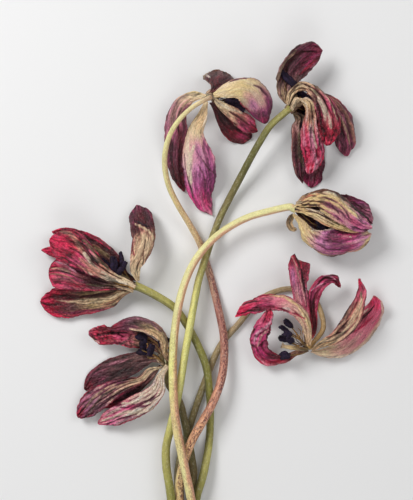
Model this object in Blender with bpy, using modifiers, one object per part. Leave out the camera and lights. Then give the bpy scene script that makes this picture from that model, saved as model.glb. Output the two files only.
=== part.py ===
# A loose bunch of six wilted tulips, lying on a flat surface at z = 0.
# Tables are in millimetres: x to the right, y towards the flowers, z up from the surface.
import bpy
import bmesh
from math import cos, radians, sin, sqrt
from mathutils import Vector

MM = 0.001
CENTRE_X = -0.07            # middle of the bunch's box in the tables' own x
CENTRE_Y = 1.0              # and in their y

TOUCH_GAP = 0.3             # clearance between two solids that touch
FLOOR_SKIN = 0.03           # lowest solid above the surface
SIXTH = 60                  # degrees between two of the six places round a stem's end
CURVE_CUTS = 24             # short chords that measure one stretch of a smooth curve

STEM_POINTS = 24            # rings of a stem's tube between its neck and its cut end
TURN_WEIGHT = 10.0          # extra length that a radian of bend counts for, when rings are spread
STEM_STEP = 1.5             # spacing of the centre line while the stems are laid
STEM_GAP = 0.5              # clearance where one stem lies over another
ARCH_RADIUS = 70.0          # how tightly a stem bends over the one below
ARCH_SLOPE = 0.30           # steepest climb of such an arch
ARCH_STEPS = 40             # how many steps to each side an arch may reach
EASING_PASSES = 40          # smoothing of those arches
NECK_LENGTH = 4.0           # straight end of the stem below the flower
COLLAR_LENGTH = 1.2         # last of it, which carries the tepals
COLLAR_SHARE = 0.97         # its radius at the lower end, as a share of the upper

TEPAL_THICK = 0.8
TEPAL_ROWS = 8              # quads along a tepal
TEPAL_COLUMNS = 4           # quads across it
OUTER_WHORL = 0.45          # how much farther out the outer three tepals are attached
CLAW_DEPTH = 0.6            # how far below the stem's tip a tepal is attached
CLAW_HALF = 1.2             # half width of that claw
CLAW_SHARE = 0.55           # and its largest share of the stem end's radius
LEAST_HALF = 0.5            # half width where a tepal ends in a point
CUP_START = 0.25            # share of the cupping at the claw
CUP_ROWS = 3                # rows over which the rest of it comes in
SETTLE_EASE = 0.8           # height over which a sinking tepal is bent level
SETTLE_SPARE = 0.02         # extra clearance of a tepal that lies flat
SIDE_STEP = 0.02            # stretch of a curve that gives its direction

SMALL_FOOT = 0.9            # foot of a pistil, as a share of its first radius

# Stems, from the flower down to the cut end.  Those laid first lie lowest.
# route: bends of the stem seen from above; rise: length over which it climbs to its flower
STEMS = {
    "e": dict(route=[(58.3, -10), (59, -5.5), (58, 0), (54, 7.5), (46, 12), (36, 11.5),
                     (25, 6), (14.5, -6), (5, -17), (0, -28), (-5, -41), (-9.5, -54),
                     (-14, -69), (-17, -80), (-18, -92), (-16.5, -107), (-14.5, -119), (-13.5, -131)],
              thick=(2.6, 3.6, 4.3), rise=26, colour=(0.30, 0.25, 0.10)),
    "f": dict(route=[(-22.5, -38), (-18.5, -44), (-16, -50), (-13.5, -61), (-11, -74),
                     (-9.5, -86), (-10.5, -97), (-11, -108), (-10, -119), (-9.5, -127)],
              thick=(3.8, 4.2, 4.4), rise=22, colour=(0.27, 0.30, 0.17)),
    "d": dict(route=[(-30, 9.5), (-20, 3), (-14, -5), (-8, -16), (-3, -28), (-1, -42),
                     (-0.6, -54), (-1.4, -70), (-4.4, -86), (-8, -98), (-8.6, -107),
                     (-7, -119), (-5.5, -130)],
              thick=(4.6, 4.4, 4.7), rise=34, colour=(0.40, 0.42, 0.14)),
    "a": dict(route=[(-9.5, 107.3), (-15, 102), (-20, 96), (-23.3, 88), (-24.5, 78), (-21.5, 64),
                     (-13, 49), (-6, 36), (-1, 20), (3.5, 2), (6.7, -16), (5.4, -34), (-0.5, -50),
                     (-8.2, -63), (-13, -74), (-16.4, -86), (-17, -98), (-17, -111),
                     (-19, -126), (-21.5, -139)],
              thick=(2.7, 3.5, 4.5), rise=70, colour=(0.62, 0.34, 0.22)),
    "b": dict(route=[(30, 97), (21, 82), (12, 65), (4, 49), (-2, 32), (-7, 16), (-10.5, -3),
                     (-14, -22), (-17.3, -42), (-20.6, -57), (-23.8, -70), (-23.5, -84),
                     (-21.2, -97), (-21.4, -109), (-24, -123), (-28, -136)],
              thick=(4.4, 4.6, 5.0), rise=50, colour=(0.36, 0.40, 0.12)),
    "c": dict(route=[(32, 53.8), (20, 50.5), (10, 45.5), (0, 38), (-9, 27), (-14.5, 14.5),
                     (-18, 0), (-20.1, -18), (-20.2, -36), (-19, -55), (-16.3, -71),
                     (-13, -86), (-10.2, -100), (-6.5, -114), (-1.5, -127), (4, -139)],
              thick=(4.6, 4.7, 4.6), rise=44, colour=(0.66, 0.60, 0.26)),
}

# Flowers.  tip: where the stem ends; axis: the way the flower opens; neck: radius of that end.
# A tepal's stations run from its claw to its tip: x, y, z, half width, roll in degrees.
# Roll 0 faces up; a positive roll turns the face to the right of the way the tepal runs.
# slot: its place round the stem's end, in sixths of a turn; cup: how far each edge bends, in
# degrees, towards its face (positive) or away from it.
FLOWERS = {
    "a": dict(tip=(-0.5, 112, 21), axis=(0.35, 0.15, -0.92), neck=1.7, turn=45, tepals=[
        dict(slot=5, cup=-55, colour=(0.60, 0.30, 0.30), stations=[
            (6.5, 115.0, 25.0, 3.6, 0), (14.5, 116.8, 26.5, 6.6, -5), (21.5, 114.0, 24.0, 8.6, -5),
            (26.2, 107.0, 17.0, 7.8, 0), (28.5, 99.8, 9.0, 3.6, 0)]),
        dict(slot=0, cup=-35, colour=(0.56, 0.34, 0.26), stations=[
            (5.0, 108.2, 19.5, 2.0, 0), (10.0, 105.0, 17.0, 2.8, 0), (16.0, 101.2, 12.5, 3.4, 0),
            (21.0, 97.6, 8.5, 3.4, 0), (24.0, 95.6, 6.0, 1.6, 0)]),
        dict(slot=2, cup=-35, colour=(0.58, 0.26, 0.36), stations=[
            (-3.4, 105.0, 20.5, 2.4, 5), (-7.4, 98.5, 19.0, 3.6, 8), (-9.0, 90.0, 17.0, 6.0, 8),
            (-7.0, 79.5, 14.0, 9.2, 5), (-6.2, 69.5, 10.0, 8.8, 5), (-4.8, 60.0, 5.5, 6.2, 0),
            (0.2, 51.6, 1.2, 1.4, 0)]),
        dict(slot=3, cup=-45, colour=(0.40, 0.18, 0.26), stations=[
            (-8.0, 113.6, 17.5, 2.4, 0), (-14.6, 110.6, 15.0, 4.2, 0), (-18.4, 103.0, 12.0, 5.8, 0),
            (-18.8, 93.0, 8.6, 6.8, 0), (-18.6, 83.0, 6.0, 6.6, 0), (-17.6, 73.5, 3.8, 4.8, 0),
            (-14.6, 64.0, 1.2, 1.4, 0)]),
        dict(slot=4, cup=-30, colour=(0.26, 0.12, 0.14), stations=[
            (1.0, 116.5, 18.0, 3.2, 0), (2.6, 120.2, 13.5, 7.0, 0), (3.8, 123.8, 9.0, 9.0, 0),
            (4.2, 126.6, 5.0, 8.4, 0), (4.4, 128.6, 1.2, 4.6, 0)]),
        dict(slot=1, cup=-30, colour=(0.26, 0.05, 0.10), stations=[
            (3.0, 106.5, 15.5, 2.2, 0), (7.0, 101.0, 10.0, 4.0, 0), (12.0, 96.8, 5.5, 5.8, 0),
            (17.0, 94.4, 2.2, 5.0, 0), (21.5, 93.6, 0.8, 2.0, 0)]),
    ]),
    "b": dict(tip=(41.5, 107.5, 15), axis=(0.75, 0.62, 0.12), neck=2.6, turn=15, tepals=[
        dict(slot=4, cup=50, colour=(0.42, 0.20, 0.26), stations=[
            (38.0, 113.0, 16.0, 2.8, 15), (37.4, 118.5, 15.5, 5.6, 25), (39.4, 125.6, 15.0, 8.6, 30),
            (43.6, 131.6, 14.5, 9.6, 30), (49.6, 135.6, 14.0, 8.4, 28), (54.8, 137.8, 13.0, 5.6, 20),
            (58.0, 137.4, 12.4, 2.0, 10)]),
        dict(slot=5, cup=-50, colour=(0.60, 0.34, 0.34), stations=[
            (42.0, 115.6, 19.0, 2.0, 0), (46.8, 118.0, 22.0, 2.8, 0), (52.0, 116.0, 23.5, 3.6, 5),
            (57.0, 110.0, 23.0, 4.8, 8), (60.0, 102.5, 20.5, 6.2, 8), (60.8, 94.5, 17.0, 6.2, 5),
            (60.8, 87.8, 13.5, 2.6, 0)]),
        dict(slot=3, cup=-45, colour=(0.46, 0.20, 0.24), stations=[
            (47.5, 112.0, 12.0, 2.6, 0), (54.5, 112.5, 13.0, 4.2, 0), (61.5, 109.0, 13.0, 6.0, 0),
            (67.2, 102.0, 11.0, 7.2, 0), (70.4, 93.5, 7.5, 6.8, 0), (71.4, 86.4, 4.0, 4.4, 0),
            (71.4, 83.2, 1.4, 2.2, 0)]),
        dict(slot=0, cup=-40, colour=(0.66, 0.14, 0.26), stations=[
            (46.0, 112.4, 19.0, 1.8, 0), (50.0, 109.6, 20.5, 2.6, 0), (51.4, 103.5, 20.5, 3.0, 0),
            (51.2, 96.5, 19.0, 4.6, 0), (52.6, 88.0, 16.0, 6.4, 0), (53.4, 80.0, 12.5, 5.6, 0),
            (51.4, 73.0, 9.5, 1.8, 0)]),
        dict(slot=1, cup=-30, colour=(0.40, 0.12, 0.18), stations=[
            (46.4, 101.6, 12.6, 1.8, 0), (45.4, 97.0, 11.2, 2.8, 0), (45.8, 91.0, 9.8, 3.8, 0),
            (46.2, 82.0, 8.2, 3.8, 0), (46.8, 74.0, 6.4, 2.9, 0), (48.2, 68.4, 4.8, 1.0, 0)]),
        dict(slot=2, cup=-35, colour=(0.22, 0.03, 0.08), stations=[
            (49.0, 103.0, 8.0, 2.4, 0), (51.8, 96.5, 5.4, 4.2, 0), (53.6, 88.5, 3.6, 5.8, 0),
            (54.2, 79.5, 2.4, 6.2, 0), (53.6, 71.5, 1.4, 5.0, 0), (53.0, 66.2, 0.6, 2.0, 0)]),
    ]),
    "c": dict(tip=(44, 54.5, 14), axis=(0.96, -0.26, 0.0), neck=2.5, turn=10, tepals=[
        dict(slot=5, cup=-45, colour=(0.66, 0.46, 0.36), stations=[
            (49.0, 58.0, 20.5, 2.6, -20), (55.0, 59.4, 24.0, 4.6, -22), (61.0, 57.8, 25.8, 6.6, -25),
            (67.0, 54.2, 25.6, 6.8, -25), (73.0, 49.8, 23.4, 5.2, -20), (79.0, 46.2, 20.0, 3.2, -15),
            (83.2, 44.2, 17.5, 1.2, -10)]),
        dict(slot=0, cup=-30, colour=(0.68, 0.54, 0.36), stations=[
            (48.2, 53.6, 18.5, 1.6, 0), (53.0, 52.0, 21.0, 2.4, 0), (59.0, 49.0, 22.2, 2.6, 0),
            (65.0, 46.2, 22.0, 2.0, 0), (71.0, 44.2, 20.4, 1.5, 0), (77.0, 43.0, 18.2, 0.8, 0)]),
        dict(slot=1, cup=-65, colour=(0.56, 0.34, 0.38), stations=[
            (46.0, 49.4, 15.0, 1.6, 15), (48.2, 43.6, 16.5, 3.4, 20), (52.2, 38.6, 17.6, 6.4, 24),
            (58.4, 35.2, 18.2, 9.0, 26), (65.6, 34.8, 18.0, 9.6, 26), (72.6, 36.2, 17.0, 7.6, 24),
            (78.8, 38.6, 15.6, 4.8, 18), (83.6, 41.2, 14.6, 1.4, 10)]),
        dict(slot=3, cup=45, colour=(0.34, 0.10, 0.22), stations=[
            (50.0, 52.4, 7.6, 5.0, 0), (57.5, 51.0, 3.6, 10.0, 0), (66.0, 51.4, 0.4, 12.4, 0),
            (74.5, 51.0, 1.2, 11.6, 0), (81.0, 50.0, 6.0, 8.0, 0), (84.2, 47.6, 10.5, 3.2, 0)]),
        dict(slot=4, cup=-35, colour=(0.44, 0.36, 0.26), stations=[
            (47.0, 59.8, 13.0, 2.2, -60), (53.0, 63.2, 13.0, 4.2, -75), (60.0, 64.4, 13.2, 5.6, -78),
            (66.4, 62.4, 13.4, 5.6, -78), (72.4, 57.4, 13.6, 4.4, -75), (78.0, 52.4, 14.0, 2.4, -70),
            (82.2, 49.2, 14.4, 1.0, -60)]),
        dict(slot=2, cup=20, colour=(0.40, 0.32, 0.18), stations=[
            (42.0, 50.4, 11.5, 1.4, 20), (41.0, 47.6, 11.0, 2.0, 30), (42.2, 44.8, 10.4, 1.9, 30),
            (44.6, 43.6, 9.8, 0.9, 20)]),
    ]),
    "d": dict(tip=(-40.5, 14.5, 11), axis=(-0.9, 0.38, 0.12), neck=2.5, turn=55, tepals=[
        dict(slot=3, cup=38, colour=(0.58, 0.10, 0.18), stations=[
            (-46.5, 10.6, 8.0, 1.8, 0), (-52.0, 8.0, 5.6, 4.2, 0), (-60.0, 6.2, 3.2, 5.8, 0),
            (-69.0, 5.2, 0.8, 6.6, 0), (-78.0, 4.8, 0.4, 7.8, 0), (-85.4, 5.6, 1.0, 6.8, 0),
            (-90.6, 6.2, 3.0, 3.2, 0)]),
        dict(slot=4, cup=-20, colour=(0.50, 0.12, 0.22), stations=[
            (-47.5, 14.4, 11.5, 1.6, 0), (-55.5, 15.2, 11.0, 3.2, 0), (-65.0, 17.4, 10.8, 5.4, 0),
            (-74.5, 20.0, 10.6, 7.6, 0), (-81.5, 21.6, 10.2, 8.2, 0), (-85.6, 22.2, 9.8, 5.8, 0)]),
        dict(slot=5, cup=-45, colour=(0.62, 0.24, 0.24), stations=[
            (-47.0, 17.4, 14.4, 1.8, 0), (-54.0, 20.2, 17.0, 3.6, 0), (-61.0, 24.8, 19.6, 6.0, 0),
            (-67.4, 29.8, 21.2, 8.4, -5), (-74.0, 34.2, 21.2, 9.8, -8), (-80.4, 37.0, 19.8, 8.2, -5),
            (-84.4, 38.4, 18.4, 4.2, 0)]),
        dict(slot=2, cup=20, colour=(0.44, 0.06, 0.14), stations=[
            (-47.5, 18.4, 7.0, 1.6, 0), (-56.0, 21.8, 5.4, 3.2, 0), (-66.0, 26.4, 4.8, 4.6, 0),
            (-76.0, 30.4, 5.2, 4.2, 0), (-84.0, 32.4, 5.4, 2.8, 0), (-90.0, 33.0, 5.0, 0.9, 0)]),
        dict(slot=1, cup=20, colour=(0.36, 0.06, 0.14), stations=[
            (-45.5, 20.4, 9.0, 1.6, 0), (-50.0, 26.6, 8.6, 3.2, 0), (-56.6, 32.2, 8.4, 4.2, 0),
            (-64.4, 37.0, 8.6, 4.6, 0), (-72.4, 40.2, 8.6, 4.0, 0), (-79.4, 42.2, 8.2, 2.8, 0),
            (-84.2, 42.6, 7.6, 1.0, 0)]),
        dict(slot=0, cup=-35, colour=(0.46, 0.30, 0.22), stations=[
            (-40.0, 22.0, 14.4, 1.7, 0), (-38.8, 27.0, 16.2, 2.5, 0), (-36.8, 33.0, 17.0, 4.2, 0),
            (-35.6, 39.5, 16.0, 5.6, 0), (-36.6, 46.5, 12.0, 6.6, 0), (-38.2, 52.5, 7.6, 5.6, 0),
            (-39.4, 56.6, 4.6, 2.0, 0)]),
    ]),
    "e": dict(tip=(50.5, -18.5, 9), axis=(-0.75, -0.60, 0.25), neck=2.1, turn=10, tepals=[
        dict(slot=0, cup=-45, colour=(0.62, 0.26, 0.32), stations=[
            (50.8, -11.5, 13.5, 2.0, 10), (49.2, -4.0, 16.8, 3.4, 15), (43.8, 2.8, 19.0, 4.4, 15),
            (35.6, 5.9, 19.4, 4.6, 10), (27.0, 5.2, 17.2, 4.8, 5), (19.0, 2.4, 13.6, 4.0, 0),
            (12.6, -2.2, 10.4, 1.2, 0)]),
        dict(slot=3, cup=-40, colour=(0.56, 0.12, 0.24), stations=[
            (45.0, -21.3, 6.2, 1.4, 0), (40.4, -23.4, 5.8, 1.8, 0), (35.6, -25.2, 6.0, 3.2, 0),
            (30.0, -23.8, 7.2, 4.6, 0), (26.0, -19.6, 9.4, 5.0, 0), (25.0, -13.4, 12.6, 5.0, 0),
            (26.8, -7.2, 16.2, 4.4, 0),
            (29.6, -1.4, 20.8, 3.0, 0), (30.4, 2.6, 23.4, 1.4, 0)]),
        dict(slot=1, cup=-30, colour=(0.50, 0.18, 0.26), stations=[
            (50.0, -9.0, 7.4, 1.8, 0), (48.8, -1.5, 9.4, 2.8, 0), (47.4, 7.0, 11.0, 4.0, 0),
            (45.6, 16.0, 13.0, 4.4, 0), (46.0, 24.0, 14.4, 5.6, 0), (43.8, 31.2, 15.0, 2.0, 0)]),
        dict(slot=2, cup=30, colour=(0.48, 0.06, 0.14), stations=[
            (54.0, -10.0, 6.6, 1.5, 0), (53.4, -2.0, 6.2, 2.4, 0), (53.4, 6.0, 7.2, 3.2, 0),
            (55.8, 13.2, 10.4, 3.6, 0), (60.6, 17.8, 12.0, 3.2, 0), (65.2, 17.4, 10.0, 2.2, 0),
            (67.8, 13.2, 7.0, 0.8, 0)]),
        dict(slot=5, cup=35, colour=(0.52, 0.28, 0.26), stations=[
            (57.5, -16.6, 11.0, 1.8, 0), (63.6, -13.6, 12.6, 3.0, 0), (70.0, -7.8, 14.6, 4.4, 0),
            (74.8, 0.0, 15.4, 4.4, 0), (78.0, 8.0, 13.6, 2.8, 0), (79.0, 14.0, 11.6, 1.8, 0),
            (77.4, 17.8, 10.2, 0.8, 0)]),
        dict(slot=4, cup=-35, colour=(0.64, 0.34, 0.36), stations=[
            (58.6, -21.4, 7.0, 2.2, 10), (66.2, -20.4, 6.4, 4.2, 15), (73.6, -16.2, 5.8, 6.0, 18),
            (79.4, -9.4, 5.6, 7.0, 18), (84.0, -2.6, 6.4, 6.0, 15), (86.8, 2.8, 8.2, 4.2, 10),
            (87.0, 6.6, 9.6, 2.4, 5), (85.4, 8.8, 10.4, 1.2, 0)]),
    ]),
    "f": dict(tip=(-24.5, -26.5, 9), axis=(-0.45, 0.80, 0.30), neck=2.3, turn=10, tepals=[
        dict(slot=1, cup=-35, colour=(0.46, 0.34, 0.26), stations=[
            (-24.6, -20.0, 12.6, 1.8, 0), (-25.2, -14.0, 14.0, 2.8, 0), (-29.4, -9.2, 14.6, 3.8, 0),
            (-36.0, -6.4, 14.4, 4.2, 0), (-43.4, -5.8, 13.0, 3.8, 0), (-50.0, -7.6, 11.2, 2.2, 0),
            (-54.0, -8.8, 10.2, 1.0, 0)]),
        dict(slot=2, cup=25, colour=(0.48, 0.14, 0.18), stations=[
            (-27.6, -19.6, 6.0, 1.8, 0), (-32.6, -16.2, 4.8, 3.4, 0), (-40.0, -14.2, 4.8, 4.6, 0),
            (-48.0, -12.9, 5.6, 4.6, 0), (-56.0, -11.8, 7.2, 4.4, 0), (-61.6, -11.4, 8.6, 3.4, 0),
            (-64.6, -9.6, 9.2, 1.2, 0)]),
        dict(slot=3, cup=20, colour=(0.26, 0.12, 0.18), stations=[
            (-30.0, -24.2, 5.4, 2.0, 0), (-36.6, -25.0, 3.4, 4.4, 0), (-45.0, -28.2, 1.6, 6.2, 0),
            (-54.0, -31.6, 0.6, 6.6, 0), (-62.0, -36.0, 0.4, 5.0, 0), (-67.4, -41.2, 0.6, 1.8, 0)]),
        dict(slot=5, cup=-30, colour=(0.42, 0.20, 0.24), stations=[
            (-29.2, -28.9, 10.6, 1.2, 0), (-33.2, -30.8, 11.4, 1.6, 0), (-38.2, -35.4, 12.2, 2.2, 0),
            (-46.0, -37.7, 11.6, 3.8, 0), (-54.0, -41.6, 10.2, 5.4, 0), (-61.4, -46.5, 8.2, 6.4, 0),
            (-67.0, -51.4, 6.2, 5.0, 0), (-70.8, -55.4, 5.0, 1.8, 0)]),
        dict(slot=0, cup=-35, colour=(0.64, 0.34, 0.42), stations=[
            (-26.4, -32.0, 13.4, 1.8, 0), (-27.0, -37.0, 14.6, 3.2, 0), (-30.4, -42.8, 14.6, 5.0, 0),
            (-37.6, -48.2, 13.2, 6.2, 0), (-46.0, -52.4, 10.6, 6.0, 0), (-54.0, -56.0, 7.6, 4.8, 0),
            (-60.0, -58.6, 5.2, 1.8, 0)]),
        dict(slot=4, cup=20, colour=(0.18, 0.04, 0.09), stations=[
            (-29.6, -30.8, 5.0, 1.6, 0), (-36.0, -36.2, 3.2, 3.0, 0), (-45.0, -42.4, 2.2, 4.2, 0),
            (-52.0, -46.4, 1.8, 4.4, 0), (-57.6, -48.6, 1.6, 2.6, 0), (-60.4, -49.6, 1.6, 1.0, 0)]),
    ]),
}

# Pistils: bends beyond the stem's end, and radii from the foot of the ovary to the stigma
PISTILS = {
    "a": dict(route=[(1.6, 112.9, 15.0), (2.6, 113.3, 11.0)], radii=(0.9, 1.3, 1.4)),
    "b": dict(route=[(44.2, 109.7, 15.6), (46.4, 111.4, 16.0)], radii=(2.0, 2.3, 2.1)),
    "c": dict(route=[(52.0, 52.4, 13.4), (59.0, 50.6, 12.0)], radii=(1.2, 1.9, 1.9)),
    "d": dict(route=[(-46.4, 18.0, 11.8), (-52.0, 20.8, 12.6)], radii=(1.2, 1.8, 1.9)),
    "e": dict(route=[(45.6, -18.9, 10.8), (38.6, -17.8, 11.8), (36.8, -17.3, 12.2)],
              radii=(0.9, 1.2, 1.0, 1.5)),
    "f": dict(route=[(-26.2, -23.6, 10.0), (-27.4, -21.6, 10.4)], radii=(0.8, 1.1, 1.2)),
}
PISTIL_COLOUR = (0.58, 0.50, 0.18)

# Stamens: place round the pistil in sixths of a turn, bend of the filament, ends of the anther
STAMENS = {
    "e": [
        dict(slot=1, bend=(46.6, -13.4, 10.2), anther=((43.0, -8.8, 9.4), (38.4, -4.0, 8.8))),
        dict(slot=2, bend=(46.6, -14.0, 6.2), anther=((42.0, -11.2, 5.2), (36.0, -7.4, 4.8))),
        dict(slot=0, bend=(46.8, -14.6, 12.8), anther=((42.6, -12.2, 13.4), (37.4, -10.4, 13.0))),
        dict(slot=5, bend=(46.8, -18.2, 14.0), anther=((42.8, -16.0, 16.6), (40.2, -13.2, 17.4))),
        dict(slot=4, bend=(46.8, -21.8, 10.2), anther=((42.6, -22.2, 11.2), (35.8, -22.8, 11.2))),
        dict(slot=3, bend=(46.8, -18.4, 7.2), anther=((41.6, -15.2, 6.6), (35.0, -13.4, 6.4))),
    ],
    "f": [
        dict(slot=0, bend=(-26.0, -21.2, 11.0), anther=((-28.6, -17.8, 11.4), (-23.2, -13.2, 10.4))),
        dict(slot=5, bend=(-28.8, -24.0, 12.4), anther=((-33.2, -23.6, 12.6), (-31.2, -16.6, 13.4))),
        dict(slot=2, bend=(-25.8, -18.8, 7.6), anther=((-32.4, -14.2, 7.8), (-39.4, -11.6, 8.1))),
        dict(slot=4, bend=(-30.0, -22.4, 9.6), anther=((-36.0, -20.0, 10.2), (-36.2, -14.4, 11.2))),
        dict(slot=1, bend=(-22.6, -18.8, 9.0), anther=((-26.6, -12.4, 8.6), (-32.2, -9.6, 9.8))),
        dict(slot=3, bend=(-28.6, -23.2, 7.4), anther=((-32.8, -21.8, 7.2), (-38.8, -19.8, 7.0))),
    ],
}
FILAMENT_RADIUS = 0.45
ANTHER_RADIUS = 1.5
ANTHER_TIP = 0.68
ANTHER_SHARES = (0.25, 0.8)  # the stretch of an anther that has its full radius
ANTHER_COLOUR = (0.06, 0.05, 0.10)


def clear_scene():
    for item in list(bpy.data.objects):
        bpy.data.objects.remove(item)


def new_material(name, colour, roughness):
    material = bpy.data.materials.new(name)
    material.use_nodes = True
    shader = material.node_tree.nodes["Principled BSDF"]
    shader.inputs["Base Color"].default_value = (*colour, 1.0)
    shader.inputs["Roughness"].default_value = roughness
    shader.inputs["Metallic"].default_value = 0.0
    return material


def place(x, y, z):
    return Vector(((x - CENTRE_X) * MM, (y - CENTRE_Y) * MM, z * MM))


def cubic(p0, p1, p2, p3, t):
    """Catmull-Rom value between p1 and p2; works for numbers and vectors."""
    return ((p1 * 2) + (p2 - p0) * t + (p0 * 2 - p1 * 5 + p2 * 4 - p3) * t * t
            + (p1 * 3 - p0 - p2 * 3 + p3) * t * t * t) * 0.5


def read_at(values, position):
    """Smooth value of a list at a fractional index."""
    last = len(values) - 1
    k = min(int(position), last - 1)
    before = values[k - 1] if k > 0 else values[0] * 2 - values[1]
    after = values[k + 2] if k + 2 <= last else values[last] * 2 - values[last - 1]
    return cubic(before, values[k], values[k + 1], after, position - k)


def even_positions(points, count, turn_weight=0.0):
    """Fractional indices that cut the smooth curve through the points into equal lengths,
    with shorter lengths where it turns if turn_weight is given."""
    total = (len(points) - 1) * CURVE_CUTS
    marks = [read_at(points, i / CURVE_CUTS) for i in range(total + 1)]
    run = [0.0]
    for i in range(total):
        leg = marks[i + 1] - marks[i]
        turn = leg.angle(marks[i] - marks[i - 1], 0.0) if i else 0.0
        run.append(run[-1] + leg.length + turn_weight * turn)
    found = []
    i = 0
    for n in range(count):
        goal = run[-1] * n / (count - 1)
        while i < total - 1 and run[i + 1] < goal:
            i += 1
        span = max(run[i + 1] - run[i], 1e-9)
        found.append(min((i + (goal - run[i]) / span) / CURVE_CUTS, len(points) - 1))
    return found, run[-1]


def smooth_line(points, count):
    """Evenly spaced points of the smooth curve."""
    positions, _ = even_positions(points, count)
    return [read_at(points, p) for p in positions]


def mix(three, t):
    """Value that runs through three numbers as t goes from 0 to 1."""
    a, b, c = three
    return a + (b - a) * t * 2 if t < 0.5 else b + (c - b) * (t * 2 - 1)


def lay_stems():
    """Centre line of each stem: it lies on the surface and arches over those already laid."""
    laid = {}
    for letter, stem in STEMS.items():
        flower = FLOWERS[letter]
        neck = Vector(flower["tip"]) - Vector(flower["axis"]).normalized() * NECK_LENGTH
        flat = [Vector((neck.x, neck.y, 0.0))] + [Vector((x, y, 0.0)) for x, y in stem["route"]]
        _, length = even_positions(flat, 2)
        count = int(length / STEM_STEP) + 1
        line = smooth_line(flat, count)
        step = length / (count - 1)
        radius = [mix(stem["thick"], i / (count - 1)) / 2 for i in range(count)]
        rise = min(1.0, stem["rise"] / length) * (count - 1)
        need = []
        for i, point in enumerate(line):
            t = min(1.0, i / rise)
            foot = radius[i] + FLOOR_SKIN
            height = foot + (neck.z - foot) * (1 - t) ** 2 * (1 + 2 * t)
            for other, other_radius in laid.values():
                for j, mark in enumerate(other):
                    reach = radius[i] + other_radius[j] + STEM_GAP
                    apart = (Vector((point.x, point.y)) - Vector((mark.x, mark.y))).length
                    if apart < reach:
                        height = max(height, mark.z + sqrt(reach ** 2 - apart ** 2))
            need.append(height)
        turn = ARCH_RADIUS * ARCH_SLOPE
        for i, point in enumerate(line):
            height = need[i]
            for j in range(max(0, i - ARCH_STEPS), min(count, i + ARCH_STEPS + 1)):
                away = abs(i - j) * step
                drop = (away * away / (2 * ARCH_RADIUS) if away < turn
                        else ARCH_SLOPE * (away - turn / 2))
                height = max(height, need[j] - drop)
            point.z = height
        line[0].z = neck.z
        for _ in range(EASING_PASSES):
            heights = [point.z for point in line]
            for i in range(1, count - 1):
                eased = (heights[i - 1] + heights[i] * 2 + heights[i + 1]) / 4
                line[i].z = max(need[i], eased)
        laid[letter] = (line, radius)
    return laid


def tube_object(name, points, radii, sides_level, material):
    """Round tube through the points, closed at both ends."""
    curve = bpy.data.curves.new(name, "CURVE")
    curve.dimensions = "3D"
    curve.bevel_depth = MM
    curve.bevel_resolution = sides_level
    curve.render_resolution_u = 0
    curve.use_fill_caps = True
    spline = curve.splines.new("POLY")
    spline.points.add(len(points) - 1)
    for mark, point, radius in zip(spline.points, points, radii):
        mark.co = (*place(*point), 1.0)
        mark.radius = radius
    spline.use_smooth = True
    curve.materials.append(material)
    return bpy.data.objects.new(name, curve)


def stem_object(letter, line, radius):
    """Stem with the swollen end that carries the flower."""
    flower, stem = FLOWERS[letter], STEMS[letter]
    tip = Vector(flower["tip"])
    axis = Vector(flower["axis"]).normalized()
    positions, _ = even_positions(line, STEM_POINTS, TURN_WEIGHT)
    points = [read_at(line, p) for p in positions]
    radii = [mix(stem["thick"], p / positions[-1]) / 2 for p in positions]
    head = [tip, tip - axis * COLLAR_LENGTH]
    head_radii = [flower["neck"], flower["neck"] * COLLAR_SHARE]
    points[0] = tip - axis * NECK_LENGTH
    material = new_material(f"stem {letter}", stem["colour"], 0.55)
    return tube_object(f"stem_{letter}", head + points, head_radii + radii, 2, material)


def ring_frame(axis):
    """Two unit vectors square to the axis: the upper one leans up, the other lies level."""
    level = axis.cross(Vector((0, 0, 1)))
    if level.length < 0.3:
        level = axis.cross(Vector((0, 1, 0)))
    level.normalize()
    return level.cross(axis).normalized(), level


def tepal_frames(flower, tepal):
    """Stations of a tepal with its claw first: points, half widths and side vectors."""
    axis = Vector(flower["axis"]).normalized()
    upper, level = ring_frame(axis)
    angle = radians(SIXTH * tepal["slot"] + flower["turn"])
    inner = tepal["slot"] % 2 == 1
    ring = flower["neck"] + TOUCH_GAP + TEPAL_THICK / 2 + (0.0 if inner else OUTER_WHORL)
    outward = upper * cos(angle) + level * sin(angle)
    claw = Vector(flower["tip"]) + outward * ring - axis * CLAW_DEPTH
    stations = tepal["stations"]
    points = [claw] + [Vector(s[:3]) for s in stations]
    halves = [min(CLAW_HALF, flower["neck"] * CLAW_SHARE)] + [s[3] for s in stations]
    around = axis.cross(outward).normalized()
    sides = [around]
    for i, station in enumerate(stations, start=1):
        ahead = points[min(i + 1, len(points) - 1)] - points[i - 1]
        ahead.normalize()
        side = ahead.cross(Vector((0, 0, 1))).normalized()
        face = side.cross(ahead)
        roll = radians(station[4])
        side = side * cos(roll) - face * sin(roll)
        if i > 1 and side.dot(sides[-1]) < 0:
            side = -side
        sides.append(side)
    if sides[1].dot(sides[0]) < 0:
        sides[0] = -sides[0]
    return points, halves, sides


def settle(z):
    """Height of a tepal's middle surface: where it would sink it lies flat on the surface."""
    low = TEPAL_THICK / 2 + FLOOR_SKIN + SETTLE_SPARE
    if z > low + SETTLE_EASE:
        return z
    if z < low - SETTLE_EASE:
        return low
    return low + (z - low + SETTLE_EASE) ** 2 / (4 * SETTLE_EASE)


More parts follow.
